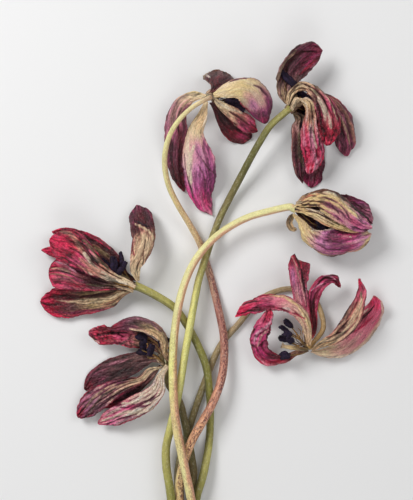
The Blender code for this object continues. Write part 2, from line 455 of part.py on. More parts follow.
def tepal_object(letter, number, flower, tepal):
    """Tepal: a grid bent along its stations, with cupped sections, made thick."""
    name = f"tepal_{letter}{number}"
    points, halves, sides = tepal_frames(flower, tepal)
    positions, _ = even_positions(points, TEPAL_ROWS + 1)
    shape = bmesh.new()
    bmesh.ops.create_grid(shape, x_segments=TEPAL_COLUMNS, y_segments=TEPAL_ROWS, size=1.0)
    for vertex in shape.verts:
        row = round((vertex.co.y + 1) / 2 * TEPAL_ROWS)
        across = vertex.co.x
        at = positions[row]
        middle = read_at(points, at)
        ahead = (read_at(points, min(at + SIDE_STEP, len(points) - 1))
                 - read_at(points, max(at - SIDE_STEP, 0))).normalized()
        side = read_at(sides, at)
        side = (side - ahead * side.dot(ahead)).normalized()
        face = side.cross(ahead)
        half = max(read_at(halves, at), LEAST_HALF)
        bend = radians(tepal["cup"]) * min(1.0, CUP_START + row / CUP_ROWS)
        width = half * sin(bend * across) / bend
        lift = half * (1 - cos(bend * across)) / bend
        spot = middle + side * width + face * lift
        vertex.co = place(spot.x, spot.y, settle(spot.z))
    mesh = bpy.data.meshes.new(name)
    shape.to_mesh(mesh)
    shape.free()
    mesh.shade_smooth()
    mesh.materials.append(new_material(name.replace("_", " "), tepal["colour"], 0.6))
    item = bpy.data.objects.new(name, mesh)
    thick = item.modifiers.new("thickness", "SOLIDIFY")
    thick.thickness = TEPAL_THICK * MM
    thick.offset = 0.0
    return item


def pistil_object(letter, flower, pistil, material):
    """Pistil: foot just off the stem's end, ovary and stigma."""
    axis = Vector(flower["axis"]).normalized()
    foot = Vector(flower["tip"]) + axis * TOUCH_GAP
    points = [foot, foot + axis * COLLAR_LENGTH] + [Vector(p) for p in pistil["route"]]
    radii = [pistil["radii"][0] * SMALL_FOOT] + list(pistil["radii"])
    return tube_object(f"pistil_{letter}", points, radii, 1, material)


def stamen_object(letter, number, flower, stamen, material):
    """Stamen: thin filament from beside the pistil's foot, then the long anther."""
    axis = Vector(flower["axis"]).normalized()
    upper, level = ring_frame(axis)
    angle = radians(SIXTH * (stamen["slot"] + 0.5) + flower["turn"])
    outward = upper * cos(angle) + level * sin(angle)
    foot = (Vector(flower["tip"]) + outward * (flower["neck"] - FILAMENT_RADIUS)
            + axis * TOUCH_GAP * 2)
    start, end = Vector(stamen["anther"][0]), Vector(stamen["anther"][1])
    swell, taper = (start.lerp(end, share) for share in ANTHER_SHARES)
    points = [foot, Vector(stamen["bend"]), start, swell, taper, end]
    radii = [FILAMENT_RADIUS] * 3 + [ANTHER_RADIUS, ANTHER_RADIUS, ANTHER_TIP]
    return tube_object(f"stamen_{letter}{number}", points, radii, 1, material)


def build():
    clear_scene()
    bouquet = bpy.data.collections.new("wilted bouquet")
    bpy.context.scene.collection.children.link(bouquet)
    items = []
    for letter, (line, radius) in lay_stems().items():
        items.append(stem_object(letter, line, radius))
    pistil_material = new_material("pistil", PISTIL_COLOUR, 0.6)
    anther_material = new_material("stamen", ANTHER_COLOUR, 0.7)
    for letter, flower in FLOWERS.items():
        for number, tepal in enumerate(flower["tepals"], start=1):
            items.append(tepal_object(letter, number, flower, tepal))
        items.append(pistil_object(letter, flower, PISTILS[letter], pistil_material))
        for number, stamen in enumerate(STAMENS.get(letter, []), start=1):
            items.append(stamen_object(letter, number, flower, stamen, anther_material))
    for item in items:
        bouquet.objects.link(item)


build()
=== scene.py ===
from math import pi
import bmesh
import bpy
import numpy as np
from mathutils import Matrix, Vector


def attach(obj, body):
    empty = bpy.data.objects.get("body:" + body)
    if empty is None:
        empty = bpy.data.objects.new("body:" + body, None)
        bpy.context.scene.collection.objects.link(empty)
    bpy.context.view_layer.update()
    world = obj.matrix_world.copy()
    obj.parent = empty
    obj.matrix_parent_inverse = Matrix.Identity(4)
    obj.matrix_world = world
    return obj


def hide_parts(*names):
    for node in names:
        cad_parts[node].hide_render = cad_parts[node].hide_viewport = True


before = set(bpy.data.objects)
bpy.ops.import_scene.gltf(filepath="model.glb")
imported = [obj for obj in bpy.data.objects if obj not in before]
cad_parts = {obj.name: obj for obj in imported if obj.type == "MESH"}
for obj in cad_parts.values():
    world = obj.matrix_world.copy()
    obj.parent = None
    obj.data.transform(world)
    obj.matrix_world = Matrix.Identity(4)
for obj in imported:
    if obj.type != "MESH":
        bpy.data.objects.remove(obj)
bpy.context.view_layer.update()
mm = 0.001
bunchCentre = (-0.07, 1.0)  # where the frame's centre lies in the tables' own x and y, in mm
print("frame loaded:", len(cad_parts), "nodes")

# colours as they look, before they are made linear
palette = dict(
    white=(0.99, 0.97, 0.90), ivory=(0.97, 0.92, 0.80), lemon=(0.97, 0.95, 0.68), butter=(0.97, 0.88, 0.62),
    lime=(0.90, 0.90, 0.56), cream=(0.87, 0.80, 0.64), sand=(0.74, 0.63, 0.51), pear=(0.66, 0.64, 0.36),
    ochre=(0.72, 0.54, 0.30), straw=(0.61, 0.53, 0.39), green=(0.50, 0.50, 0.22), khaki=(0.46, 0.42, 0.26),
    olive=(0.42, 0.36, 0.25), moss=(0.36, 0.36, 0.17), tan=(0.50, 0.39, 0.31), taupe=(0.50, 0.39, 0.36),
    ash=(0.40, 0.29, 0.29), brown=(0.33, 0.21, 0.16), dusk=(0.30, 0.20, 0.20), fig=(0.20, 0.12, 0.13),
    slate=(0.14, 0.11, 0.15), indigo=(0.15, 0.12, 0.20), salmon=(0.74, 0.52, 0.44), coral=(0.80, 0.50, 0.38),
    clay=(0.62, 0.40, 0.36), russet=(0.50, 0.24, 0.20), blush=(0.88, 0.68, 0.64), pink=(0.84, 0.50, 0.56),
    lilac=(0.84, 0.64, 0.70), orchid=(0.72, 0.42, 0.54), mauve=(0.56, 0.36, 0.42), berry=(0.74, 0.34, 0.44),
    rose=(0.64, 0.26, 0.38), fuchsia=(0.62, 0.18, 0.38), magenta=(0.50, 0.14, 0.28), ember=(0.82, 0.22, 0.34),
    cherry=(0.70, 0.13, 0.28), crimson=(0.45, 0.06, 0.14), wine=(0.36, 0.06, 0.12), plum=(0.36, 0.17, 0.24),
    maroon=(0.24, 0.06, 0.09), heather=(0.66, 0.42, 0.57), damson=(0.44, 0.19, 0.34), peach=(0.88, 0.68, 0.50))


def linear(colour):
    c = np.asarray(colour, dtype=float)
    return np.where(c <= 0.04045, c / 12.92, ((np.maximum(c, 0) + 0.055) / 1.055) ** 2.4)


def tone(name):
    return np.array(palette[name])


def ease(low, high, x):
    t = np.clip((x - low) / (high - low), 0, 1)
    return t * t * (3 - 2 * t)


# scrambles a corner of the wave grid into a share from 0 to 1
def hashed(i, j, seed):
    n = np.sin(i * 127.1 + j * 311.7 + seed * 74.7) * 43758.5453
    return n - np.floor(n)


# smooth random waves from -1 to 1
def waver(x, y, seed):
    i, j = np.floor(x), np.floor(y)
    s, t = ease(0, 1, x - i), ease(0, 1, y - j)
    near = hashed(i, j, seed) * (1 - s) + hashed(i + 1, j, seed) * s
    far = hashed(i, j + 1, seed) * (1 - s) + hashed(i + 1, j + 1, seed) * s
    return (near * (1 - t) + far * t) * 2 - 1


# waves in layers, each half as long and half as high as the one before
def rough(x, y, seed, layers=3):
    total, size = 0, 1.0
    for layer in range(layers):
        total = total + waver(x / size, y / size, seed + layer * 5) * size
        size *= 0.5
    return total / (2 - 2 * size)


# distance of points from a bent line seen from above, and the share of its length where they come nearest
def awayFrom(x, y, bends):
    legs = [np.hypot(b[0] - a[0], b[1] - a[1]) for a, b in zip(bends, bends[1:])]
    best, share, run = np.full(x.shape, 1e9), np.zeros(x.shape), 0
    for (ax, ay), (bx, by), leg in zip(bends, bends[1:], legs):
        t = np.clip(((x - ax) * (bx - ax) + (y - ay) * (by - ay)) / leg ** 2, 0, 1)
        away = np.hypot(x - ax - (bx - ax) * t, y - ay - (by - ay) * t)
        share = np.where(away < best, (run + t * leg) / sum(legs), share)
        best = np.minimum(best, away)
        run += leg
    return best, share


# how near points are to a painted line, from 0 to 1; the line thins towards both ends
def lineMask(x, y, reach, bends, drift):
    away, share = awayFrom(x, y, list(zip(bends[::2], bends[1::2])))
    taper = np.clip(4 * share * (1 - share), 0, 1) ** 0.4 * 0.75 + 0.25
    return ease(1.0, 0.25, away / (reach * taper) + 0.55 * drift)


# weights of the four neighbours in a smooth curve through points
def fourWeights(t):
    return 0.5 * np.stack([-t + 2 * t * t - t ** 3, 2 - 5 * t * t + 3 * t ** 3,
                           t + 4 * t * t - 3 * t ** 3, -t * t + t ** 3], -1)


# one more point straight on at each end
def withGhosts(points):
    return np.concatenate([2 * points[:1] - points[1:2], points, 2 * points[-1:] - points[-2:-1]], 0)


# a smooth line through rows of numbers, read at equal steps
def readLine(rows, count):
    grown, last = withGhosts(np.asarray(rows, dtype=float)), len(rows) - 1
    at = np.linspace(0, last, count)
    i = np.minimum(np.floor(at).astype(int), last - 1)
    w = fourWeights(at - i)
    return sum(w[..., k, None] * grown[i + k] for k in range(4))


def middleOf(corners):
    return sum((corner.co for corner in corners), Vector()) / len(corners)


# flat patches of faces, each a set
def flatPatches(shape, sameWay=0.9):
    seen, patches = set(), []
    for face in shape.faces:
        if face not in seen:
            patch, stack = {face}, [face]
            while stack:
                for edge in stack.pop().edges:
                    for other in edge.link_faces:
                        if other not in patch and other.normal.dot(face.normal) > sameWay:
                            patch.add(other)
                            stack.append(other)
            seen |= patch
            patches.append(patch)
    return patches


# the CAD solids are lofts: their rings of corners in order, from the end nearest to a point
def cadRings(node, size, nearPoint):
    shape = bmesh.new()
    shape.from_mesh(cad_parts[node].data)
    bmesh.ops.remove_doubles(shape, verts=shape.verts, dist=0.01 * mm)
    shape.verts.index_update()
    shape.normal_update()
    for patch in flatPatches(shape):
        corners = {corner for face in patch for corner in face.verts}
        if len(corners) != size or len(patch) != size - 2:
            continue
        rings, used = [corners], set(corners)
        while rings and len(used) < len(shape.verts):
            ring = {edge.other_vert(v) for v in rings[-1] for edge in v.link_edges} - used
            rings = rings + [ring] if len(ring) == size else []
            used |= ring
        if rings:
            if (middleOf(rings[-1]) - nearPoint).length < (middleOf(rings[0]) - nearPoint).length:
                rings.reverse()
            # sorted, so that every run adds up the corners in the same order
            return shape, [sorted(ring, key=lambda corner: corner.index) for ring in rings]
    raise RuntimeError("no rings found in " + node)


# middle and mean radius of each ring, as rows of x, y, z, radius in mm
def ringMiddles(node, size, nearPoint):
    shape, rings = cadRings(node, size, nearPoint)
    rows = []
    for ring in rings:
        middle = middleOf(ring)
        radius = sum((v.co - middle).length for v in ring) / size
        rows.append([*(np.array(middle) / mm), radius / mm])
    shape.free()
    return np.array(rows)


# the ten corners of a tepal's ring lie in a loop: five above, five below
def loopOf(ring):
    loop, last = [ring[0]], None
    while len(loop) < len(ring):
        ahead = [e.other_vert(loop[-1]) for e in loop[-1].link_edges]
        ahead = [v for v in ahead if v in ring and v is not last and v not in loop]
        last = loop[-1]
        loop.append(ahead[0])
    return [np.array(v.co) / mm for v in loop]


# five points half way between the upper and the lower corners; the loop turns most at its two edges
def acrossRing(loop):
    size, half = len(loop), len(loop) // 2
    turns = []
    for i in range(size):
        a, b = loop[i] - loop[i - 1], loop[(i + 1) % size] - loop[i]
        turns.append(1 - a @ b / (np.linalg.norm(a) * np.linalg.norm(b)))
    edge = max(range(half), key=lambda i: sum(turns[(i + k) % size] for k in (0, 1, half, half + 1)))
    return np.array([(loop[(edge + 1 + k) % size] + loop[(edge - k) % size]) / 2 for k in range(half)])


def endRow(ring, beside):
    points = np.array([np.array(v.co) / mm for v in ring])
    order = np.argsort(points @ (beside[-1] - beside[0]))
    return points[order].reshape(-1, 2, 3).mean(1)


# middle surface of a tepal as rows of five points, claw first, left edge first
def tepalRows(node, nearPoint):
    shape, rings = cadRings(node, 10, nearPoint)
    rows = [acrossRing(loopOf(ring)) for ring in rings[1:-1]]
    mid = len(rows) // 2
    ahead = rows[mid + 1].mean(0) - rows[mid - 1].mean(0)
    if np.cross(rows[mid][-1] - rows[mid][0], ahead)[2] < 0:
        rows[mid] = rows[mid][::-1]
    # the others turn the same way as their neighbour, from the middle outwards
    outwards = [(i, i + 1) for i in range(mid - 1, -1, -1)] + [(i, i - 1) for i in range(mid + 1, len(rows))]
    for i, beside in outwards:
        if (rows[i][-1] - rows[i][0]) @ (rows[beside][-1] - rows[beside][0]) < 0:
            rows[i] = rows[i][::-1]
    rows = [endRow(rings[0], rows[0])] + rows + [endRow(rings[-1], rows[-1])]
    shape.free()
    return np.array(rows)


class Surface:
    # smooth sheet through a tepal's rows; u runs from claw to tip, v from edge to edge
    def __init__(self, rows):
        self.count = rows.shape[:2]
        self.grid = withGhosts(withGhosts(rows).transpose(1, 0, 2)).transpose(1, 0, 2)
        self.halves = np.linalg.norm(np.diff(rows, axis=1), axis=2).sum(1) / 2
        self.length = np.linalg.norm(np.diff(rows[:, self.count[1] // 2], axis=0), axis=1).sum()

    def at(self, u, v):
        r, c = u * (self.count[0] - 1), (v + 1) / 2 * (self.count[1] - 1)
        i = np.clip(np.floor(r).astype(int), 0, self.count[0] - 2)
        j = np.clip(np.floor(c).astype(int), 0, self.count[1] - 2)
        a, b = fourWeights(r - i), fourWeights(c - j)
        return sum(a[:, k, None] * b[:, m, None] * self.grid[i + k, j + m] for k in range(4) for m in range(4))

    def halfAt(self, u):
        return np.interp(u, np.linspace(0, 1, self.count[0]), self.halves)

    def faceAt(self, u, v, stepAlong=0.015, stepAcross=0.06):
        side = self.at(u, v + stepAcross) - self.at(u, v - stepAcross)
        ahead = self.at(np.minimum(u + stepAlong, 1), v) - self.at(np.maximum(u - stepAlong, 0), v)
        face = np.cross(side, ahead)
        return face / np.maximum(np.linalg.norm(face, axis=1), 1e-9)[:, None]


# sets a socket, or links another one to it
def wire(tree, socket, value):
    if isinstance(value, bpy.types.NodeSocket):
        tree.links.new(value, socket)
    else:
        socket.default_value = value


def addNode(tree, kind, inputs, **settings):
    node = tree.nodes.new("ShaderNode" + kind)
    for label, value in settings.items():
        setattr(node, label, value)
    for label, value in inputs.items():
        wire(tree, node.inputs[label], value)
    return node.outputs


def calc(tree, operation, *values):
    return addNode(tree, "Math", dict(enumerate(values)), operation=operation)[0]


def vectorCalc(tree, operation, vector, value):
    second = "Scale" if operation == "SCALE" else 1
    return addNode(tree, "VectorMath", {0: vector, second: value}, operation=operation)[0]


def stretched(tree, vector, along, across):
    return vectorCalc(tree, "MULTIPLY", vector, (along, across, 1))


def mixColour(tree, factor, a, b, blend="MIX"):
    second = b if isinstance(b, bpy.types.NodeSocket) else (*b, 1)
    sockets = {0: factor, 6: a, 7: second}  # the mix node's colour sockets come seventh and eighth
    return addNode(tree, "Mix", sockets, data_type="RGBA", blend_type=blend)[2]


def noiseAt(tree, vector, detail, roughness=0.55, scale=1.0):
    return addNode(tree, "TexNoise", dict(Vector=vector, Scale=scale, Detail=detail, Roughness=roughness))


# a shared effect: its inputs are the flow along the skin and some numbers with their usual values
def nodeGroup(name, outputs, **numbers):
    group = bpy.data.node_groups.new(name, "ShaderNodeTree")
    group.interface.new_socket(name="Flow", in_out="INPUT", socket_type="NodeSocketVector")
    for label, value in numbers.items():
        group.interface.new_socket(name=label, in_out="INPUT", socket_type="NodeSocketFloat").default_value = value
    for label in outputs:
        group.interface.new_socket(name=label, in_out="OUTPUT", socket_type="NodeSocketFloat")
    return group, group.nodes.new("NodeGroupInput").outputs, group.nodes.new("NodeGroupOutput").inputs


def makeVeins():
    group, given, out = nodeGroup("long veins", ["Mask", "Height"], Spacing=1.0)
    drift = noiseAt(group, stretched(group, given["Flow"], 0.09, 0.12), 2)["Fac"]
    place = addNode(group, "SeparateXYZ", {0: given["Flow"]})
    drifted = calc(group, "ADD", place["Y"], calc(group, "MULTIPLY", drift, 3.5))
    across = calc(group, "DIVIDE", drifted, given["Spacing"])
    bent = addNode(group, "CombineXYZ", {0: calc(group, "MULTIPLY", place["X"], 0.05), 1: across, 2: place["Z"]})[0]
    fine = noiseAt(group, bent, 2.5, 0.6, 1.1)["Fac"]
    away = calc(group, "MULTIPLY", calc(group, "ABSOLUTE", calc(group, "SUBTRACT", fine, 0.5)), 7.0)
    wire(group, out["Mask"], calc(group, "MAXIMUM", calc(group, "SUBTRACT", 1.0, away), 0.0))
    wire(group, out["Height"], fine)
    return group


def makeCrinkle():
    group, given, out = nodeGroup("fine crinkle", ["Height", "Mottle"], Size=1.0)
    scaled = vectorCalc(group, "SCALE", given["Flow"], calc(group, "DIVIDE", 1.0, given["Size"]))
    wide = noiseAt(group, stretched(group, scaled, 0.16, 0.35), 3, 0.6)["Fac"]
    small = noiseAt(group, stretched(group, scaled, 0.9, 1.6), 2, 0.7)["Fac"]
    wide, small = calc(group, "MULTIPLY_ADD", wide, 1.2, -0.6), calc(group, "MULTIPLY_ADD", small, 2.6, -1.3)
    wire(group, out["Mottle"], calc(group, "ADD", calc(group, "ADD", wide, small), 0.5))
    wire(group, out["Height"], noiseAt(group, stretched(group, scaled, 0.55, 1.3), 5, 0.62)["Fac"])
    return group


def makeFreckles():
    group, given, out = nodeGroup("freckles", ["Mask"], Size=1.0, Amount=0.2)
    scale = calc(group, "DIVIDE", 1.0, given["Size"])
    dots = noiseAt(group, stretched(group, given["Flow"], 0.7, 1.2), 3, 0.7, scale)["Fac"]
    edge = calc(group, "MULTIPLY_ADD", given["Amount"], -0.25, 0.66)
    mask = calc(group, "MULTIPLY", calc(group, "SUBTRACT", dots, edge), 16.0)
    wire(group, out["Mask"], calc(group, "MINIMUM", calc(group, "MAXIMUM", mask, 0.0), 1.0))
    return group


def makeNet():
    group, given, out = nodeGroup("crumpled net", ["Mask", "Height"], Size=1.0)
    scaled = vectorCalc(group, "SCALE", given["Flow"], calc(group, "DIVIDE", 1.0, given["Size"]))
    even = stretched(group, scaled, 0.5, 1.0)
    bent = vectorCalc(group, "ADD", even, noiseAt(group, even, 2, scale=0.9)["Color"])
    away = addNode(group, "TexVoronoi", dict(Vector=bent, Scale=1.0), feature="DISTANCE_TO_EDGE")["Distance"]
    height = calc(group, "MINIMUM", calc(group, "MULTIPLY", away, 5.0), 1.0)
    wire(group, out["Height"], height)
    wire(group, out["Mask"], calc(group, "SUBTRACT", 1.0, height))
    return group


groups = dict(veins=makeVeins(), crinkle=makeCrinkle(), freckles=makeFreckles(), net=makeNet())
# a skin's usual look
usualSkin = dict(
    veinSpacing=1.0, veinTint=(0.6, 0.35, 0.42), veinStrength=0.6, veinDepth=0.9, crinkleSize=0.8, mottle=0.5,
    netSize=1.5, netStrength=0.5, netDepth=0.5, roughness=0.42, bump=0.7, specular=0.5,
    freckleSize=0.9, freckleAmount=0.2, freckleStrength=0.5, freckleColour="brown",
    fleckGlintSize=0.8, fleckGlintAmount=0.15, fleckGlintStrength=0.5, fleckGlintColour="blush")


# skin of all pieces: painted tint, long veins, a crumpled net with painted shade darkening its crease lines, dark
# freckles, and pale specks, on stems their own and on petals partly painted glints
def skinMaterial(name, changes):
    look = {**usualSkin, **changes}
    material = bpy.data.materials.new(name)
    material.use_nodes = True
    tree = material.node_tree

    def attribute(label, kind="Vector"):
        return addNode(tree, "Attribute", {}, attribute_name=label)[kind]

    def useGroup(label, **values):
        return addNode(tree, "Group", values, node_tree=groups[label])

    def times(a, b):
        return calc(tree, "MULTIPLY", a, b)

    flow, tint, spots = attribute("flow"), attribute("tint"), attribute("spots", "Fac")
    elsewhere = vectorCalc(tree, "ADD", flow, (41, 23, 5))
    veins = useGroup("veins", Flow=flow, Spacing=look["veinSpacing"])
    crinkle = useGroup("crinkle", Flow=flow, Size=look["crinkleSize"])
    net = useGroup("net", Flow=flow, Size=look["netSize"])
    freckles = useGroup("freckles", Flow=flow, Size=look["freckleSize"], Amount=look["freckleAmount"])
    flecksAndGlints = useGroup("freckles", Flow=elsewhere, Size=look["fleckGlintSize"], Amount=look["fleckGlintAmount"])
    # the long veins darken the tint as the skin's own colour; the crumpled net's crease lines darken it as painted
    # shade
    veinsAndCreaseShade = calc(tree, "MAXIMUM", times(veins["Mask"], look["veinStrength"]), times(net["Mask"], look["netStrength"]))
    colour = mixColour(tree, veinsAndCreaseShade, tint, mixColour(tree, 1.0, tint, look["veinTint"], "MULTIPLY"))
    brightness = calc(tree, "MULTIPLY_ADD", crinkle["Mottle"], look["mottle"], 1 - look["mottle"] / 2)
    colour = vectorCalc(tree, "SCALE", colour, brightness)
    freckled = times(times(freckles["Mask"], look["freckleStrength"]), spots)
    colour = mixColour(tree, freckled, colour, linear(tone(look["freckleColour"])))
    # pale specks: on stems the skin's own, on petals partly painted glints
    fleckGlintHue = mixColour(tree, 0.5, tint, linear(tone(look["fleckGlintColour"])))
    colour = mixColour(tree, times(flecksAndGlints["Mask"], look["fleckGlintStrength"]), colour, fleckGlintHue)
    height = calc(tree, "MULTIPLY_ADD", veins["Height"], look["veinDepth"], crinkle["Height"])
    height = calc(tree, "MULTIPLY_ADD", net["Height"], look["netDepth"], height)
    bump = addNode(tree, "Bump", dict(Distance=look["bump"] * mm, Strength=1.0, Height=height))
    shader = tree.nodes["Principled BSDF"].inputs
    wire(tree, shader["Base Color"], colour)
    wire(tree, shader["Roughness"], calc(tree, "MULTIPLY_ADD", crinkle["Height"], 0.25, look["roughness"] - 0.12))
    wire(tree, shader["Normal"], bump["Normal"])
    wire(tree, shader["Specular IOR Level"], look["specular"])
    return material


def addObject(name, data):
    item = bpy.data.objects.new(name, data)
    bpy.context.scene.collection.objects.link(item)
    return item


# a bent sheet or tube: places holds the corners of its shape in mm from the bunch's centre
def paintedObject(name, shape, places, flow, tint, spots, material):
    mesh = bpy.data.meshes.new(name)
    shape.to_mesh(mesh)
    shape.free()
    mesh.vertices.foreach_set("co", (places * mm).astype(np.float32).ravel())
    for label, values in (("flow", flow), ("tint", linear(np.clip(tint, 0.01, 0.99)))):
        layer = mesh.attributes.new(label, "FLOAT_VECTOR", "POINT")
        layer.data.foreach_set("vector", values.astype(np.float32).ravel())
    mesh.attributes.new("spots", "FLOAT", "POINT").data.foreach_set("value", spots.astype(np.float32))
    mesh.materials.append(material)
    mesh.shade_smooth()
    mesh.update()
    return addObject(name, mesh)


def paintMix(colour, name, weight):
    return colour + (tone(name) - colour) * np.clip(weight, 0, 1)[:, None]


def paintTones(names, t):
    colours = np.array([palette[name] for name in names.split()])
    at = np.clip(t, 0, 1) * (len(colours) - 1)
    return np.stack([np.interp(at, range(len(colours)), colours[:, k]) for k in range(3)], -1)


# a bright colour is dimmed as a whole, so that its hue stays
def keepHue(colour, brightest=0.95):
    return colour / np.maximum(1, colour.max(1) / brightest)[:, None]


# a petal's usual shape and paint. tones run from claw to tip; patches are (hue, along, across, length, width) in
# shares of the petal; for the folds, painted highlights on their tops and painted shade in their troughs (hue,
# strength, from, to) in shares of its length; lines (hue, half width, height, then the bends as x, y, x, y), in mm,
# are the petal's own streaks and also pale painted highlights along raised lines and dark painted shade along sunk
# ones; rim (hue, width in mm, strength); pleats (how many, depth in mm); crumple (height in mm, from, to); widths by
# share of its length
usualPetal = dict(
    patches=[], crestHighlights=[], hollowShade=[], lines=[], rim=("crimson", 1.0, 0.3), lift=1.28, streak=0.26, sinew=0.4,
    widths=[(0, 1), (1, 1)], tipSpan=0.08, slant=0, nicks=0.07, thick=0.32, fold=0.6, crease=0.3, pleats=(3, 0.3),
    ruffle=0.7, ruffleLength=4.2, fissure=0.5, fissureGap=1.3, crumple=(0.12, 0.5, 1))
# waves on a petal: length and width in mm, share of the winding, what the seed grows by, layers
petalWaves = dict(
    creases=(2.4, 0.9, 1, 11, 3), drift=(12, 0.8, 1, 31, 3), streaks=(14, 0.6, 1, 51, 2), sinews=(20, 1.1, 1, 81, 2),
    ridges=(2.6, 1.9, 0, 71, 2), blotch=(6, 3.5, 0, 37, 3), grain=(0.9, 0.6, 0, 41, 2))
# steps of the mesh in mm and how many there may be; lowest point above the table
petalMesh = dict(alongStep=0.42, alongLimits=(50, 130), acrossStep=0.36, acrossLimits=(20, 60), lowest=0.25)
petalRelief = dict(winding=1.2, crackDepth=0.3, ruffleReach=2.6)
# how strongly the paint shows; creases is painted light on the tops of the small creases and painted shade in their
# troughs, foldShade and crackShade are painted shade in folds and cracks, ridgeLight is painted light on ridges
petalPaint = dict(
    patch=0.85, line=0.9, grain=0.2, creases=0.14, foldShade=0.22, crackShade=0.55, ridgeLight=0.5,
    toneDrift=0.09, toneBlotch=0.06, patchDrift=0.35, patchBlotch=0.2)


# one tepal: a thin crumpled sheet over its CAD solid's middle surface, painted by place
def makeTepal(name, look, nearPoint, material, seed):
    look, relief, paint = {**usualPetal, **look}, petalRelief, petalPaint
    sheet = Surface(tepalRows(name, nearPoint))
    countAlong = int(np.clip(sheet.length / petalMesh["alongStep"], *petalMesh["alongLimits"]))
    countAcross = int(np.clip(sheet.halves.max() * 2 / petalMesh["acrossStep"], *petalMesh["acrossLimits"]))
    shape = bmesh.new()
    bmesh.ops.create_grid(shape, x_segments=countAcross - 1, y_segments=countAlong - 1, size=1)
    flat = np.array([v.co for v in shape.verts])
    u, v = (flat[:, 1] + 1) / 2, flat[:, 0]
    along, zero, sideways = u * sheet.length, 0 * u, 9 * np.sign(v)
    # outline: rounded tip, chosen widths, small nicks along the rim
    tipped = np.clip((u - 1 + look["tipSpan"]) / look["tipSpan"], 0, 1)
    narrow = np.sqrt(np.clip(1 - tipped ** 2, 0.02, 1)) * np.interp(u, *zip(*look["widths"]))
    nicks = 0.6 * rough(along / 3 + sideways, zero, seed + 3) + 0.4 * rough(along / 0.9 + sideways, zero, seed + 4, 2)
    narrow = narrow * (1 + look["nicks"] * nicks * ease(0.05, 0.3, u))
    half = sheet.halfAt(u) * narrow
    across, rim = v * half, (1 - np.abs(v)) * half
    slantWay = np.sign(look["slant"])
    reached = u - look["slant"] * np.clip(0.5 + 0.5 * v * slantWay, 0, 1) * slantWay * ease(0.55, 1, u)
    place = sheet.at(reached, v * narrow)
    x, y = place[:, 0] + bunchCentre[0], place[:, 1] + bunchCentre[1]
    # relief: long folds, creases, pleats, a wavy rim and drawn ridges and grooves
    loose = ease(0, 0.25, u)
    winding = relief["winding"] * waver(along / 7, across / 5, seed + 2)
    waves = {label: rough(along / long, (across + wound * winding) / wide, seed + number, layers)
             for label, (long, wide, wound, number, layers) in petalWaves.items()}
    folds = rough(along / 10 + 3, (across + winding) / 1.7, seed, 3)
    cracks = ease(0.2, 0.03, np.abs(rough(along / 16, (across + winding) / look["fissureGap"], seed + 61, 2)))
    crumple, low, high = look["crumple"]
    ridges = (1 - 3 * np.abs(waves["ridges"])) * ease(low - 0.15, low + 0.1, u) * ease(high + 0.1, high - 0.05, u)
    pleats, depth = look["pleats"]
    pleat = np.cos(pi * pleats * v + 1.6 * waver(along / 12, zero, seed + 7)) * (1 - 0.5 * ease(0.8, 1, np.abs(v)))
    out = (look["fold"] * folds + depth * pleat) * loose + look["crease"] * waves["creases"] * (0.4 + 0.6 * loose)
    out = out + crumple * ridges - relief["crackDepth"] * look["fissure"] * cracks * loose
    ruffles = rough(along / look["ruffleLength"] + sideways, zero, seed + 21, 2)
    out = out + look["ruffle"] * ruffles * ease(relief["ruffleReach"], 0, rim) * loose
    masks = [(hue, height, lineMask(x, y, reach, bends, waves["drift"]))
             for hue, reach, height, *bends in look["lines"]]
    for hue, height, mask in masks:
        out = out + height * mask
    place = place + sheet.faceAt(reached, v * narrow) * out[:, None]
    place[:, 2] = np.maximum(place[:, 2], petalMesh["lowest"])
    # paint: tones from claw to tip, patches, painted highlights on the fold tops and painted shade in the fold troughs,
    # rim and drawn lines
    shift = paint["toneDrift"] * waves["drift"]
    colour = paintTones(look["tones"], u + shift + paint["toneBlotch"] * waves["blotch"])
    for hue, atLong, atWide, long, wide in look["patches"]:
        away = np.hypot((u - atLong) / long, (v - atWide) / wide) + paint["patchDrift"] * waves["drift"]
        colour = paintMix(colour, hue, paint["patch"] * ease(1.1, 0.1, away + paint["patchBlotch"] * waves["blotch"]))
    colour = look["lift"] * colour
    # painted highlights on the tops of the folds, painted shade in their troughs
    crest = folds + 0.5 * waves["drift"] + 0.35 * pleat * (depth > 0.1) + 0.5 * ridges * crumple
    for key, shown in (("crestHighlights", ease(0.1, 0.7, crest)), ("hollowShade", ease(0.0, -0.6, crest))):
        for hue, strength, low, high in look[key]:
            weight = strength * shown * ease(low - 0.12, low + 0.05, u) * ease(high + 0.12, high - 0.05, u)
            colour = paintMix(colour, hue, weight)
    hue, wide, strength = look["rim"]
    colour = paintMix(colour, hue, strength * ease(wide, 0, rim + 0.5 * waves["blotch"]) * ease(0.1, 0.4, u))
    # drawn lines: the petal's own streaks, and also pale painted highlights along raised lines and dark painted shade
    # along sunk ones
    for hue, height, mask in masks:
        colour = paintMix(colour, hue, paint["line"] * mask)
    # colour streaks, sinews and grain; painted light on the tops and painted shade in the troughs of the small creases;
    # painted shade in the folds and cracks; painted light on the ridges
    bright = 1 + look["streak"] * waves["streaks"] + look["sinew"] * ease(0.16, 0.02, np.abs(waves["sinews"]))
    colour = colour * (bright + paint["grain"] * waves["grain"] + paint["creases"] * waves["creases"])[:, None]
    dark = paint["foldShade"] * ease(0.1, -0.9, folds + 0.6 * waves["creases"])
    colour = colour * (1 - dark - paint["crackShade"] * look["fissure"] * cracks)[:, None]
    colour = keepHue(colour * (1 + paint["ridgeLight"] * crumple * ridges)[:, None])
    flow = np.stack([along, across, np.full(len(u), seed * 3.7)], -1)
    spots = ease(-0.5, 0.6, waves["blotch"])
    item = paintedObject(name.replace("tepal", "petal"), shape, place, flow, colour, spots, material)
    thick = item.modifiers.new("thickness", "SOLIDIFY")
    thick.thickness, thick.offset = look["thick"] * mm, 0
    return item


